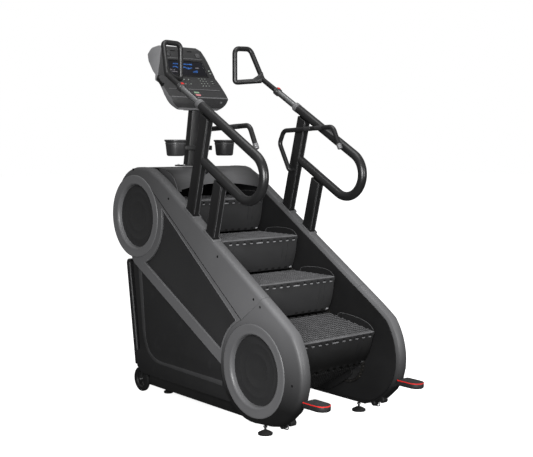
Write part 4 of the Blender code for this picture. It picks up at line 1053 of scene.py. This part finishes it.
def make_handle(side):
    """Steel tube with its index slot, clamp collar, and the rubber covered D grip."""
    name = side_name(side)
    body = f"extension_handle_{name}"
    end, direction = handle_frame(side)
    run = [end - direction * HANDLE_INSIDE, end + direction * (COLLAR_START + 0.01)]
    tube = piece(f"handle_tube_{name}", sweep(run, circle_profile(STEEL_R, 32)), "steel", body=body,
                 stands_for=[body])
    up = Vector((0, -sin(RAIL_ANGLE), cos(RAIL_ANGLE)))
    slot_box = sweep([end - direction * 0.10 + up * STEEL_R, end + direction * 0.172 + up * STEEL_R],
                     [(-0.0045, -0.004), (0.0045, -0.004), (0.0045, 0.004), (-0.0045, 0.004)])
    cut(tube, slot_box)
    cut(tube, button_shape(side, 0.001, 0.008))
    # A dark strip along the slot's floor: painted shade.
    floor = end + up * (STEEL_R - 0.0035)
    strip = sweep([floor - direction * 0.098, floor + direction * 0.170],
                  [(-0.0042, -0.0004), (0.0042, -0.0004), (0.0042, 0.0012), (-0.0042, 0.0012)])
    piece(f"handle_slot_{name}", strip, "groove", body=body)
    collar = [(COLLAR_START - 0.002, STEEL_R), (COLLAR_START, 0.0245), (COLLAR_START + 0.002, 0.0260),
              (COLLAR_START + 0.007, 0.0260), (COLLAR_START + 0.008, 0.0250), (COLLAR_START + 0.010, 0.0250),
              (COLLAR_START + 0.011, 0.0260), (COLLAR_STOP - 0.011, 0.0260), (COLLAR_STOP - 0.010, 0.0250),
              (COLLAR_STOP - 0.008, 0.0250), (COLLAR_STOP - 0.007, 0.0260), (COLLAR_STOP - 0.002, 0.0260),
              (COLLAR_STOP, 0.0240), (COLLAR_STOP + 0.002, 0.0160), (COLLAR_START, 0.0160)]
    ring = piece(f"handle_collar_{name}", ring_round(end, direction, collar), "tray", body=body,
                 angle=30)
    cut(ring, button_shape(side, 0.001, 0.004))
    neck = end + direction * HANDLE_NECK
    low_grip = Vector((side * 0.2175, 0.495, 2.018))
    high_grip = Vector((side * 0.2175, 0.495, 2.236))
    shoulder = Vector((side * 0.348, 0.496, 2.241))
    root = neck + Vector((-side * 0.012, 0.0, -0.008))
    loop = round_corners([end + direction * (COLLAR_STOP - 0.004), neck, shoulder, high_grip, low_grip,
                          low_grip + Vector((side * 0.03, -0.015, 0.0))], 0.034, 7)
    grip = piece(f"handle_grip_{name}", sweep(loop, circle_profile(0.0165, 24)), "rail", body=body,
                 angle=50)
    lower_arm = [low_grip + Vector((side * 0.024, -0.012, 0.0)), root]
    cut(grip, sweep(lower_arm, circle_profile(0.0163, 24)), "UNION")
    web = bmesh.new()
    corners = [neck + Vector((-side * 0.002, 0.002, 0.048)), neck + Vector((-side * 0.070, 0.030, -0.002)),
               neck + Vector((-side * 0.052, 0.010, -0.020)), neck + Vector((0.0, -0.012, -0.014))]
    thick = Vector((0.0, 0.009, -0.003))
    skin(web, [[web.verts.new(corner + thick * sign) for corner in corners] for sign in (1, -1)])
    piece(f"handle_web_{name}", web, "frame", body=body, edge=0.004, segments=3)
    piece(f"release_key_{name}", button_shape(side), "red", body=f"release_button_{name}",
          stands_for=[f"release_button_{name}"], edge=0.0018, segments=3)


def button_shape(side, grow=0.0, sink=0.0):
    end, direction = handle_frame(side)
    normal = Vector((0, -sin(RAIL_ANGLE), cos(RAIL_ANGLE)))
    centre = end + direction * (COLLAR_START + COLLAR_STOP) / 2 + normal * 0.0225
    half = 0.0085 + grow
    profile = [(-half, -half), (half, -half), (half, half), (-half, half)]
    return sweep([centre - normal * (0.004 + sink), centre + normal * 0.0058], profile, up=direction)


def make_grip_bar(side):
    name = side_name(side)
    x = side * 0.326
    points = [(side * (POST_X[0] - GAP), 0.078, 1.447), (x, 0.078, 1.447), (x, 0.170, 1.616),
              (x, 0.130, 1.697), (x, 0.060, 1.699), (x, -0.318, 1.716), (x, -0.382, 1.585)]
    path = round_corners(points, 0.045, 8)
    piece(f"grip_tube_{name}", sweep(path, circle_profile(0.0145, 24), up=(0.0, 1.0, 0.2)), "rail",
          stands_for=[f"grip_bar_{name}"], angle=50)
    foot = Vector(points[-1])
    heading = (foot - Vector(points[-2])).normalized()
    cap = [(-0.030, 0.0144), (-0.028, 0.0160), (-0.014, 0.0160), (-0.0125, 0.0150), (-0.010, 0.0150),
           (-0.0085, 0.0160), (-0.003, 0.0158), (0.0012, 0.0140), (0.0028, 0.0100), (0.0030, 0.0004),
           (-0.0300, 0.0004)]
    piece(f"grip_cap_{name}", ring_round(foot, heading, cap), "collar", angle=40)
    contacts = []
    bar = Vector((x, -0.318, 1.716)) - Vector((x, 0.060, 1.699))
    start = Vector((x, 0.060, 1.699))
    sleeve = [(0.0, 0.0140), (0.0015, 0.0151), (0.060, 0.0151), (0.0615, 0.0140)]
    for share in (0.34, 0.60):
        contacts.append(ring_round(start + bar * share, bar, sleeve, 24))
    piece(f"grip_contacts_{name}", merged(*contacts), "tray")


# ---------------------------------------------------------------- stairs
SLOT_XS = [0.0] + [sign * (0.066 + 0.0535 * k) for k in range(5) for sign in (-1, 1)]
NOTCH_XS = [sign * (0.046 + 0.0535 * k) for k in range(5) for sign in (-1, 1)]


def make_step_mesh():
    """One step, level, with its tread's rear edge on the X axis: nosing pockets, comb notches, grip studs."""
    nose = -TREAD_DEPTH
    outline = chaikin([tuple(p) for p in step_outline()[1:7]], 1)
    shape = [step_outline()[0]] + [tuple(p) for p in outline] + step_outline()[7:]
    step = piece("step_master", prism(shape, -TREAD_HALF, TREAD_HALF), "step")
    pockets, notches = [], []
    for x in SLOT_XS:
        half = 0.023 if x == 0 else 0.0105
        pockets.append(box((x - half, x + half), (nose - 0.02, nose + 0.019), (-0.0285, -0.0140)))
    cut(step, merged(*pockets))
    for x in NOTCH_XS:
        notches.append(box((x - 0.012, x + 0.012), (-0.030, 0.02), (-0.04, 0.02)))
    cut(step, merged(*notches))
    extra = bmesh.new()
    extra.from_mesh(step.data)
    # Grip studs, guard rims and nosing strip, in the lighter stud finish as painted highlight.
    painted_highlight_parts = bmesh.new()
    dark = bmesh.new()
    # Nosing lips and hinge knuckles, in the lighter lip finish as painted highlight.
    lips = bmesh.new()
    crest = chaikin(guard_outline()[:9], 2)
    for side in (-1, 1):
        plate = [tuple(point) for point in crest] + guard_outline()[9:]
        prism(plate, side * (TREAD_HALF - 0.005), side * (TREAD_HALF - 0.0001), dark)
        rim = crest + offset_path(crest, -0.0018)[::-1]
        prism(rim, side * (TREAD_HALF - 0.0062), side * (TREAD_HALF - 0.0048), painted_highlight_parts)
    sole = [(nose + 0.0545, -0.1975), (nose + 0.0630, -0.2150), (nose + 0.0600, -0.2165),
            (nose + 0.0515, -0.1990)]
    for x in NOTCH_XS:
        prism(sole, x - 0.011, x + 0.011, dark)
    add_studs(painted_highlight_parts, nose)
    for x in SLOT_XS:
        half = 0.023 if x == 0 else 0.0075
        lip = [(nose - 0.0022, -0.0285), (nose - 0.0016, -0.0262), (nose + 0.010, -0.0278),
               (nose + 0.010, -0.0320), (nose + 0.0010, -0.0330)]
        prism(lip, x - half, x + half, lips)
    nosing = [(nose - 0.0012, -0.0060), (nose - 0.0012, -0.0015), (nose + 0.0005, 0.0012),
              (nose + 0.0060, 0.0014), (nose + 0.0070, -0.0004)]
    prism(nosing, -TREAD_HALF + 0.008, TREAD_HALF - 0.008, painted_highlight_parts)
    for x in (-0.236, -0.198, 0.198, 0.236):
        rib = [(nose + 0.007, -0.040), (nose + 0.0105, -0.075), (nose + 0.0205, -0.130),
               (nose + 0.038, -0.178), (nose + 0.044, -0.178), (nose + 0.030, -0.130),
               (nose + 0.022, -0.075), (nose + 0.018, -0.040)]
        prism(rib, x - 0.0016, x + 0.0016, extra)
    for side in (-1, 1):
        foot_y, foot_z = nose + RISER_BACK - 0.004, -RISER_DROP + 0.022
        knuckle = [(side * (TREAD_HALF - 0.020), 0.0), (side * (TREAD_HALF - 0.020), 0.0075),
                   (side * (TREAD_HALF - 0.018), 0.0085), (side * (TREAD_HALF - 0.004), 0.0085),
                   (side * (TREAD_HALF - 0.002), 0.0075), (side * (TREAD_HALF - 0.002), 0.0)]
        add_bmesh(lips, lathe(knuckle, (0, foot_y - 0.003, foot_z), "X", 20))
    meshes = []
    for name, bm, finish_name in (("stair", extra, "step"), ("stair_grip", painted_highlight_parts, "stud"),
                                  ("stair_guard", dark, "wall"), ("stair_lips", lips, "lip")):
        bmesh.ops.recalc_face_normals(bm, faces=bm.faces)
        mesh = bpy.data.meshes.new(name)
        bm.to_mesh(mesh)
        bm.free()
        mesh.materials.append(FINISHES[finish_name])
        meshes.append(mesh)
    bpy.data.objects.remove(step, do_unlink=True)
    return meshes


def add_studs(bm, nose):
    """Rows of low grip studs over the whole tread."""
    columns, rows = 36, 14
    width, depth, height = 0.0040, 0.0076, 0.0026
    for column in range(columns):
        for row in range(rows):
            x = -0.3000 + 0.5920 * (column + 0.5 * (row % 2)) / (columns - 1)
            y = nose + 0.016 + 0.346 * row / (rows - 1)
            rings = [[bm.verts.new((x + sx * half_x, y + sy * half_y, z))
                      for sx, sy in ((-1, -1), (1, -1), (1, 1), (-1, 1))]
                     for half_x, half_y, z in ((width, depth, -0.0002), (width * 0.7, depth * 0.8, height))]
            skin(bm, rings)


def make_steps():
    body_mesh, grip_mesh, guard_mesh, lip_mesh = make_step_mesh()
    places = [(number, pin(number) + ALONG * STEP_PITCH, 0.0, "upper_steps") for number in (3, 4, 5)]
    places.append((2, pin(3), LOW_STEP_TILT, "lower_step"))
    places.append((1, step_foot(pin(3), LOW_STEP_TILT), FOLDED_STEP_TILT, "folded_step"))
    for number, pivot, tilt, body in places:
        for name, mesh in ((f"stair_{number}", body_mesh), (f"stair_grip_{number}", grip_mesh),
                           (f"stair_guard_{number}", guard_mesh), (f"stair_lips_{number}", lip_mesh)):
            item = bpy.data.objects.new(name, mesh)
            bpy.context.scene.collection.objects.link(item)
            item.location = (0, *pivot)
            item.rotation_euler = (tilt, 0, 0)
            use_tree(item, SMOOTH[35])
            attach(item, body)
            if mesh is body_mesh:
                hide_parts(f"step_{number}")


# ---------------------------------------------------------------- console
def console_half():
    return [(0.0, 1.80), (0.105, 1.80), (0.158, 1.835), (0.200, 1.860), (0.223, 1.888), (0.236, 1.925),
            (0.239, 1.965), (0.239, 2.012), (0.232, 2.058), (0.210, 2.117), (0.189, 2.173), (0.173, 2.212),
            (0.153, 2.247), (0.125, 2.266), (0.0, 2.30)]


def console_outline():
    half = [tuple(point) for point in chaikin(console_half()[1:-1], 2)]
    return [(0, 1.80)] + half + [(0, 2.30)] + [(-x, z) for x, z in reversed(half)]


FACE_SHELF = (Vector((0.592, 1.917)), Vector((0.640, 1.964)))
FACE_KEYS = (Vector((0.640, 1.964)), Vector((0.727, 2.052)))
FACE_SCREEN = (Vector((0.727, 2.052)), Vector((0.762, 2.166)))
FACE_HEAD = (Vector((0.762, 2.166)), Vector((0.792, 2.236)))
FACE_DISPLAY = (Vector((0.731, 2.066)), Vector((0.7605, 2.160)))
DISPLAY_RISE = 0.0985
DISPLAY_FOOT, DISPLAY_HEAD = 0.170, 0.140       # half widths


def on_face(face, x, along, proud=0.0):
    """World point on one of the console's front faces, and the face's up and out directions."""
    up = (face[1] - face[0]).normalized()
    out = Vector((-up[1], up[0]))
    place = face[0] + up * along + out * proud
    return Vector((x, *place)), Vector((0, *up)), Vector((0, *out))


def raised(face, x, along, half_x, half_y, proud, squareness):
    """A rounded pad on a console face: a superellipse-like outline with an eased top."""
    centre, up, out = on_face(face, x, along)
    bm = bmesh.new()
    rings = []
    for grow, height in ((1.0, -0.001), (1.0, proud * 0.6), (0.86, proud)):
        ring = []
        for index in range(16):
            angle = 2 * pi * (index + 0.5) / 16
            u = abs(cos(angle)) ** squareness * (1 if cos(angle) > 0 else -1)
            v = abs(sin(angle)) ** squareness * (1 if sin(angle) > 0 else -1)
            ring.append(bm.verts.new(centre + Vector((1, 0, 0)) * u * half_x * grow + up * v * half_y * grow
                                     + out * height))
        rings.append(ring)
    return skin(bm, rings)


def make_console():
    profile = [Vector(p) for p in CONSOLE_PROFILE]
    housing = piece("console_body", prism([tuple(p) for p in profile], -0.25, 0.25), "console",
                    stands_for=["console_housing"])
    cut(housing, box((-0.070, 0.070), (0.604, 0.676), (1.8318, 1.930)), "UNION")
    cut(housing, front_prism(console_outline(), 0.50, 1.00), "INTERSECT")
    housing.modifiers.clear()
    bevel(housing, 0.0045, 3, 24)
    use_tree(housing, SMOOTH[35])
    bpy.context.view_layer.update()
    rounded_mesh = bpy.data.meshes.new_from_object(
        housing.evaluated_get(bpy.context.evaluated_depsgraph_get()))
    housing.modifiers.clear()
    housing.data = rounded_mesh
    low, up, out = on_face(FACE_DISPLAY, 0.0, 0.0)
    cut(housing, slab(low, up, out, DISPLAY_RISE, DISPLAY_FOOT, DISPLAY_HEAD, -0.012, 0.02))
    for along in (0.012, 0.036):
        foot, key_up, key_out = on_face(FACE_SHELF, 0.0, along)
        cut(housing, slab(foot, key_up, key_out, 0.016, 0.020, 0.020, -0.009, 0.02))
    housing.data.materials.append(FINISHES["console_flank"])
    # Sides, and the faces under the front, take the lighter flank finish: painted highlight.
    for face in housing.data.polygons:
        outward = abs(face.normal.x) > 0.5 and abs(face.center.x) > 0.10
        if outward or (face.normal.z < -0.45 and face.center.y < 0.64):
            face.material_index = 1
    use_tree(housing, SMOOTH[35])
    dress("console_display", "screen")
    dress("start_key", "green", edge=0.0015)
    dress("stop_key", "pink", edge=0.0015)
    make_screen_frame()
    make_screen_picture()
    make_keys()
    make_console_trim()


def make_screen_frame():
    """Dark frame round the display, and the ridge above it."""
    low, up, out = on_face(FACE_DISPLAY, 0.0, 0.0)
    bm = bmesh.new()
    rings = []
    for grow, lift in ((0.0, -0.004), (0.0, 0.0010), (0.0035, 0.0026), (0.0075, 0.0022), (0.0085, -0.001)):
        foot, head = DISPLAY_FOOT + grow, DISPLAY_HEAD + grow
        corners = ((-foot, -grow), (foot, -grow), (head, DISPLAY_RISE + grow), (-head, DISPLAY_RISE + grow))
        rings.append([bm.verts.new(low + Vector((x, 0, 0)) + up * rise + out * lift) for x, rise in corners])
    piece("screen_frame", skin_loop(bm, rings), "console_dark")
    ridge = raised(FACE_HEAD, 0.0, 0.013, 0.148, 0.0022, 0.0022, squareness=0.25)
    piece("head_ridge", ridge, "console_side")


def patch(points):
    """A flat lit patch on the display; points are (x, distance up the display)."""
    bm = bmesh.new()
    rings = []
    for lift in (-0.0020, -0.0015):
        rings.append([bm.verts.new(on_face(FACE_DISPLAY, x, along, lift)[0]) for x, along in points])
    return skin(bm, rings)


def make_screen_picture():
    """Generic workout picture: a bar, a rolling line, and small lit blocks."""
    bars = [patch([(-0.095, 0.074), (0.060, 0.074), (0.060, 0.082), (-0.095, 0.082)])]
    upper = [(-0.100 + 0.155 * i / 24, 0.0575 + 0.0040 * sin(i * 0.55)) for i in range(25)]
    lower = [(x, z - 0.009 - 0.002 * sin(x * 90)) for x, z in reversed(upper)]
    bars.append(patch(upper + lower))
    for index in range(4):
        x = 0.058 + 0.010 * index
        bars.append(patch([(x, 0.022), (x + 0.0075, 0.022), (x + 0.0075, 0.030 + 0.003 * index),
                           (x, 0.030 + 0.003 * index)]))
    piece("screen_blue", merged(*bars), "lit_blue")
    greys = [patch([(0.080, 0.052), (0.112, 0.052), (0.112, 0.058), (0.080, 0.058)]),
             patch([(-0.130, 0.020), (-0.070, 0.020), (-0.070, 0.024), (-0.130, 0.024)])]
    for index in range(6):
        x = -0.135 + 0.0085 * index
        greys.append(patch([(x, 0.030), (x + 0.005, 0.030), (x + 0.005, 0.034 + 0.003 * (index % 3)),
                            (x, 0.034 + 0.003 * (index % 3))]))
    piece("screen_grey", merged(*greys), "lit_grey")


def make_keys():
    pads, dots = [], []
    for x, along in ((-0.040, 0.100), (-0.002, 0.102), (-0.046, 0.057), (-0.004, 0.059)):
        pads.append(raised(FACE_KEYS, x, along, 0.0150, 0.0125, 0.0016, squareness=0.6))
        dots.append(raised(FACE_KEYS, x, along, 0.0048, 0.0042, 0.0024, squareness=1.0))
    for row in range(4):
        for column in range(3):
            x = 0.089 + 0.0245 * column
            along = 0.114 - 0.0230 * row
            pads.append(raised(FACE_KEYS, x, along, 0.0095, 0.0080, 0.0012, squareness=0.5))
            dots.append(raised(FACE_KEYS, x, along, 0.0040, 0.0034, 0.0019, squareness=1.0))
    for along in (0.092, 0.072, 0.052):
        pads.append(raised(FACE_KEYS, 0.184, along, 0.0150, 0.0055, 0.0014, squareness=0.4))
    for along in (0.092, 0.072):
        dots.append(raised(FACE_KEYS, 0.184, along, 0.0100, 0.0014, 0.0019, squareness=0.4))
    for row in range(4):
        pads.append(raised(FACE_KEYS, -0.120, 0.108 - 0.024 * row, 0.017, 0.007, 0.0014, squareness=0.4))
    piece("key_pads", merged(*pads), "tray")
    piece("key_marks", merged(*dots), "mark")
    side_keys = [raised(face, x, along, 0.0055, 0.0045, 0.0030, squareness=1.0)
                 for face, x, along in ((FACE_SCREEN, 0.188, 0.052), (FACE_SCREEN, 0.197, 0.034))]
    piece("screen_side_keys", merged(*side_keys), "mark")


def make_console_trim():
    ledge = raised(FACE_KEYS, 0.0, 0.004, 0.208, 0.0026, 0.0034, squareness=0.2)
    lip_centre = Vector((0.5885, 1.9135))
    lip = sweep([(-0.222, *lip_centre), (-0.205, *lip_centre), (0.205, *lip_centre), (0.222, *lip_centre)],
                circle_profile(0.0042, 14), up=(0, 1, 0))
    piece("console_ledge", ledge, "console_side")
    piece("shelf_lip", lip, "collar")
    grilles, rims = [], []
    # Each speaker is a dark raised oval standing for its recess, painted shade, with lighter slats across it
    # as painted highlight.
    for x in (-0.122, 0.122):
        rims.append(raised(FACE_HEAD, x, 0.040, 0.0260, 0.0205, 0.0018, squareness=1.0))
        for index in range(6):
            half = 0.022 * sqrt(1 - ((index - 2.5) / 3.4) ** 2)
            grilles.append(raised(FACE_HEAD, x, 0.027 + 0.0052 * index, half, 0.0013, 0.0030,
                                  squareness=0.4))
    piece("speaker_rims", merged(*rims), "console_dark")
    piece("speaker_slats", merged(*grilles), "console_side")
    # Dark pads for the head vents: painted shade.
    vents = [raised(FACE_HEAD, x, 0.066, half, 0.0030, 0.0008, squareness=0.4)
             for x, half in ((-0.075, 0.022), (-0.018, 0.022), (0.060, 0.020))]
    piece("head_vents", merged(*vents), "groove")
    clip = [(-0.2400, 0.652, 1.992), (-0.2520, 0.652, 1.992), (-0.2545, 0.668, 2.006),
            (-0.2545, 0.700, 2.034), (-0.2480, 0.712, 2.044), (-0.2380, 0.712, 2.044)]
    section = [(-0.013, -0.0022), (0.013, -0.0022), (0.013, 0.0022), (-0.013, 0.0022)]
    piece("headset_clip", sweep(round_corners(clip, 0.006, 3), section, up=(0, 0.7, -0.7)),
          "console_dark", edge=0.001)
    socket = [(-0.002, 0.0035), (0.0030, 0.0035), (0.0036, 0.0050), (0.0030, 0.0066), (-0.002, 0.0070)]
    jack = ring_round((0.170, 0.5850, 1.8850), (0, -1, 0.1), socket, 20)
    piece("headset_socket", jack, "collar")
    slats = []
    for index in range(7):
        share = 0.20 + 0.09 * index
        low = Vector((0.812, 2.094)).lerp(Vector((0.894, 2.160)), share)
        slats.append(box((-0.105, 0.105), (low[0] - 0.0022, low[0] + 0.0022),
                         (low[1] - 0.0060, low[1] + 0.0012)))
    piece("console_back_vents", merged(*slats), "console_dark")
    bolts = [screw((x, MAST_FOOT[0] + dy, TOP_Z + 0.010), (0, 0, 1), 0.0075, 0.0045)
             for x in (-0.076, 0.076) for dy in (-0.032, 0.032)]
    piece("mast_bolts", merged(*bolts), "dull_steel")


def squared(bm, side):
    """Push a turned cup towards a softly square plan, and move it to its place."""
    for vert in bm.verts:
        angle = atan2(vert.co.y, vert.co.x)
        square = 1.0 / (abs(cos(angle)) ** 3.8 + abs(sin(angle)) ** 3.8) ** (1 / 3.8)
        factor = min(square, 1.11) / 1.11
        vert.co.x *= factor
        vert.co.y *= factor
    bmesh.ops.translate(bm, verts=bm.verts, vec=(side * 0.198, 0.585, 0))
    return bm


def make_trays():
    """Cup trays with softly square walls, a rolled rim and ribs."""
    for side in (-1, 1):
        name = side_name(side)
        low, high = 1.535, 1.640
        profile = [(low, 0.0), (low, 0.046), (low + 0.004, 0.0545), (low + 0.010, 0.0575),
                   (high - 0.030, 0.0640), (high - 0.028, 0.0665), (high - 0.024, 0.0665),
                   (high - 0.022, 0.0645), (high - 0.014, 0.0655), (high - 0.010, 0.0705),
                   (high - 0.004, 0.0720), (high, 0.0705), (high, 0.0640), (high - 0.004, 0.0622),
                   (low + 0.012, 0.0535), (low + 0.006, 0.0500), (low + 0.005, 0.0)]
        piece(f"cup_holder_{name}", squared(lathe(profile, (0, 0, 0), "Z", 64), side), "tray",
              stands_for=[f"cup_tray_{name}"], angle=40)
        # Light lines on the rim beads, in the bezel grey: painted highlight.
        lines = []
        for centre, radius in ((high - 0.0270, 0.0664), (high - 0.0052, 0.0718)):
            ring = [(centre - 0.0014, radius - 0.001), (centre - 0.0010, radius + 0.0006),
                    (centre + 0.0010, radius + 0.0006), (centre + 0.0014, radius - 0.001),
                    (centre - 0.0014, radius - 0.001)]
            lines.append(squared(lathe(ring, (0, 0, 0), "Z", 64), side))
        piece(f"cup_lines_{name}", merged(*lines), "bezel")


# ---------------------------------------------------------------- step-up pads
PAD_X = (0.320, 0.416)
PAD_Y = (-1.009, -0.8565)
PAD_Z = (0.230, 0.264)
PAD_CORNER_R = 0.012


def pad_outline(side, inset=0.0):
    centre_x = side * (PAD_X[0] + PAD_X[1]) / 2
    half_x = (PAD_X[1] - PAD_X[0]) / 2 - inset
    centre_y = PAD_Y[0] + 0.056
    outline = [(centre_x + half_x * cos(radians(a)), centre_y + (0.056 - inset) * sin(radians(a)))
               for a in range(180, 361, 9)]
    back = PAD_Y[1] - inset
    for sign in (1, -1):
        corner = []
        for turn in range(5):
            angle = radians(turn * 22.5)
            reach = half_x - PAD_CORNER_R * (1 - cos(angle))
            corner.append((centre_x + sign * reach, back - PAD_CORNER_R * (1 - sin(angle))))
        outline += corner if sign > 0 else list(reversed(corner))
    return outline


def make_pad(side):
    name = side_name(side)
    low, high = PAD_Z
    body = loft([(pad_outline(side, 0.006), low), (pad_outline(side, 0.001), low + 0.004),
                 (pad_outline(side), low + 0.008), (pad_outline(side), high - 0.009),
                 (pad_outline(side, 0.0012), high - 0.007)])
    arm = [(-0.5905, 0.110), (-0.5905, 0.132), (-0.700, 0.180), (-0.865, 0.256), (-0.905, 0.256),
           (-0.905, 0.236), (-0.865, 0.231), (-0.690, 0.150)]
    item = piece(f"pad_body_{name}", body, "panel", stands_for=[f"step_pad_{name}"])
    cut(item, prism(arm, side * 0.350, side * 0.378), "UNION")
    band = loft([(pad_outline(side, 0.0012), high - 0.0068), (pad_outline(side, -0.0006), high - 0.0058),
                 (pad_outline(side, -0.0006), high - 0.0022), (pad_outline(side, 0.0016), high - 0.0010)])
    piece(f"pad_band_{name}", band, "red")
    top = loft([(pad_outline(side, 0.0035), high - 0.0012), (pad_outline(side, 0.0035), high - 0.0004),
                (pad_outline(side, 0.0065), high)])
    for row in range(9):
        y = PAD_Y[0] + 0.018 + 0.014 * row
        reach = (PAD_X[1] - PAD_X[0]) / 2 - 0.012
        if row < 3:
            reach *= (0.45, 0.72, 0.90)[row]
        centre = side * (PAD_X[0] + PAD_X[1]) / 2
        prism([(y - 0.0032, high - 0.0002), (y + 0.0032, high - 0.0002), (y + 0.0022, high + 0.0010),
               (y - 0.0022, high + 0.0010)], centre - reach, centre + reach, top)
    piece(f"pad_top_{name}", top, "pad")


# ---------------------------------------------------------------- camera, light and floor
def make_stage():
    """Pale floor, white surroundings, and three soft lights.

    The floor glows and is hidden from bounced light and reflections, so it doesn't light the machine.
    """
    bm = bmesh.new()
    half = 40.0
    corners = ((-half, -half), (half, -half), (half, half), (-half, half))
    bm.faces.new([bm.verts.new((x, y, 0.0)) for x, y in corners])
    mesh = bpy.data.meshes.new("floor")
    bm.to_mesh(mesh)
    bm.free()
    floor = bpy.data.objects.new("floor", mesh)
    bpy.context.scene.collection.objects.link(floor)
    material = bpy.data.materials.new("floor_paint")
    material.use_nodes = True
    shader = material.node_tree.nodes["Principled BSDF"]
    shader.inputs["Base Color"].default_value = (0.93, 0.93, 0.93, 1)
    shader.inputs["Roughness"].default_value = 0.9
    shader.inputs["Specular IOR Level"].default_value = 0.0
    shader.inputs["Emission Color"].default_value = (1.0, 1.0, 1.0, 1)
    shader.inputs["Emission Strength"].default_value = 0.85
    mesh.materials.append(material)

    floor.visible_diffuse = False
    floor.visible_glossy = False

    world = bpy.data.worlds.new("studio")
    world.use_nodes = True
    tree = world.node_tree
    seen = tree.nodes["Background"]
    seen.inputs["Color"].default_value = (1.0, 1.0, 1.0, 1.0)
    place = add_node(tree, "ShaderNodeTexCoord").outputs["Generated"]
    height = add_node(tree, "ShaderNodeSeparateXYZ", {"Vector": place}).outputs["Z"]
    strength = remap(tree, height, -0.3, 0.9, 0.05, 0.42)
    lighting = add_node(tree, "ShaderNodeBackground", {"Color": (1.0, 1.0, 1.0, 1.0), "Strength": strength})
    camera_ray = add_node(tree, "ShaderNodeLightPath").outputs["Is Camera Ray"]
    both = add_node(tree, "ShaderNodeMixShader", {0: camera_ray, 1: lighting.outputs[0], 2: seen.outputs[0]})
    tree.links.new(both.outputs[0], tree.nodes["World Output"].inputs["Surface"])
    bpy.context.scene.world = world
    bpy.context.scene.view_settings.view_transform = "Standard"

    lights = (("key_light", (-3.0, -3.6, 1.9), (-0.2, -0.5, 0.7), 2.4, 320.0),
              ("top_light", (-0.3, -0.6, 4.3), (0.0, 0.0, 1.0), 2.4, 45.0),
              ("front_light", (0.9, -5.2, 1.9), (0.0, -0.2, 0.9), 1.6, 110.0))
    for name, place, aim, size, power in lights:
        light = bpy.data.lights.new(name, "AREA")
        light.shape = "DISK"
        light.size = size
        light.energy = power
        lamp = bpy.data.objects.new(name, light)
        lamp.location = place
        lamp.rotation_euler = (Vector(aim) - Vector(place)).to_track_quat("-Z", "Y").to_euler()
        bpy.context.scene.collection.objects.link(lamp)


def make_camera():
    """Camera at the photograph's viewing angle, found by fitting it to the machine's long straight edges."""
    data = bpy.data.cameras.new("camera")
    data.lens = 64.57
    data.sensor_width = 36.0
    camera = bpy.data.objects.new("camera", data)
    camera.location = (-3.740, -4.483, 1.606)
    camera.rotation_euler = (radians(85.006), 0.0, radians(-40.361))
    bpy.context.scene.collection.objects.link(camera)
    bpy.context.scene.camera = camera


# ---------------------------------------------------------------- build
FINISHES = make_finishes()
WELD = weld_tree()
SMOOTH = {angle: smooth_tree(angle) for angle in (30, 35, 40, 50)}
make_stage()
make_camera()
dress_covers()
dress_frame()
for side in (-1, 1):
    make_handrail(side)
    make_handle(side)
    make_grip_bar(side)
    make_pad(side)
make_steps()
make_console()
make_trays()
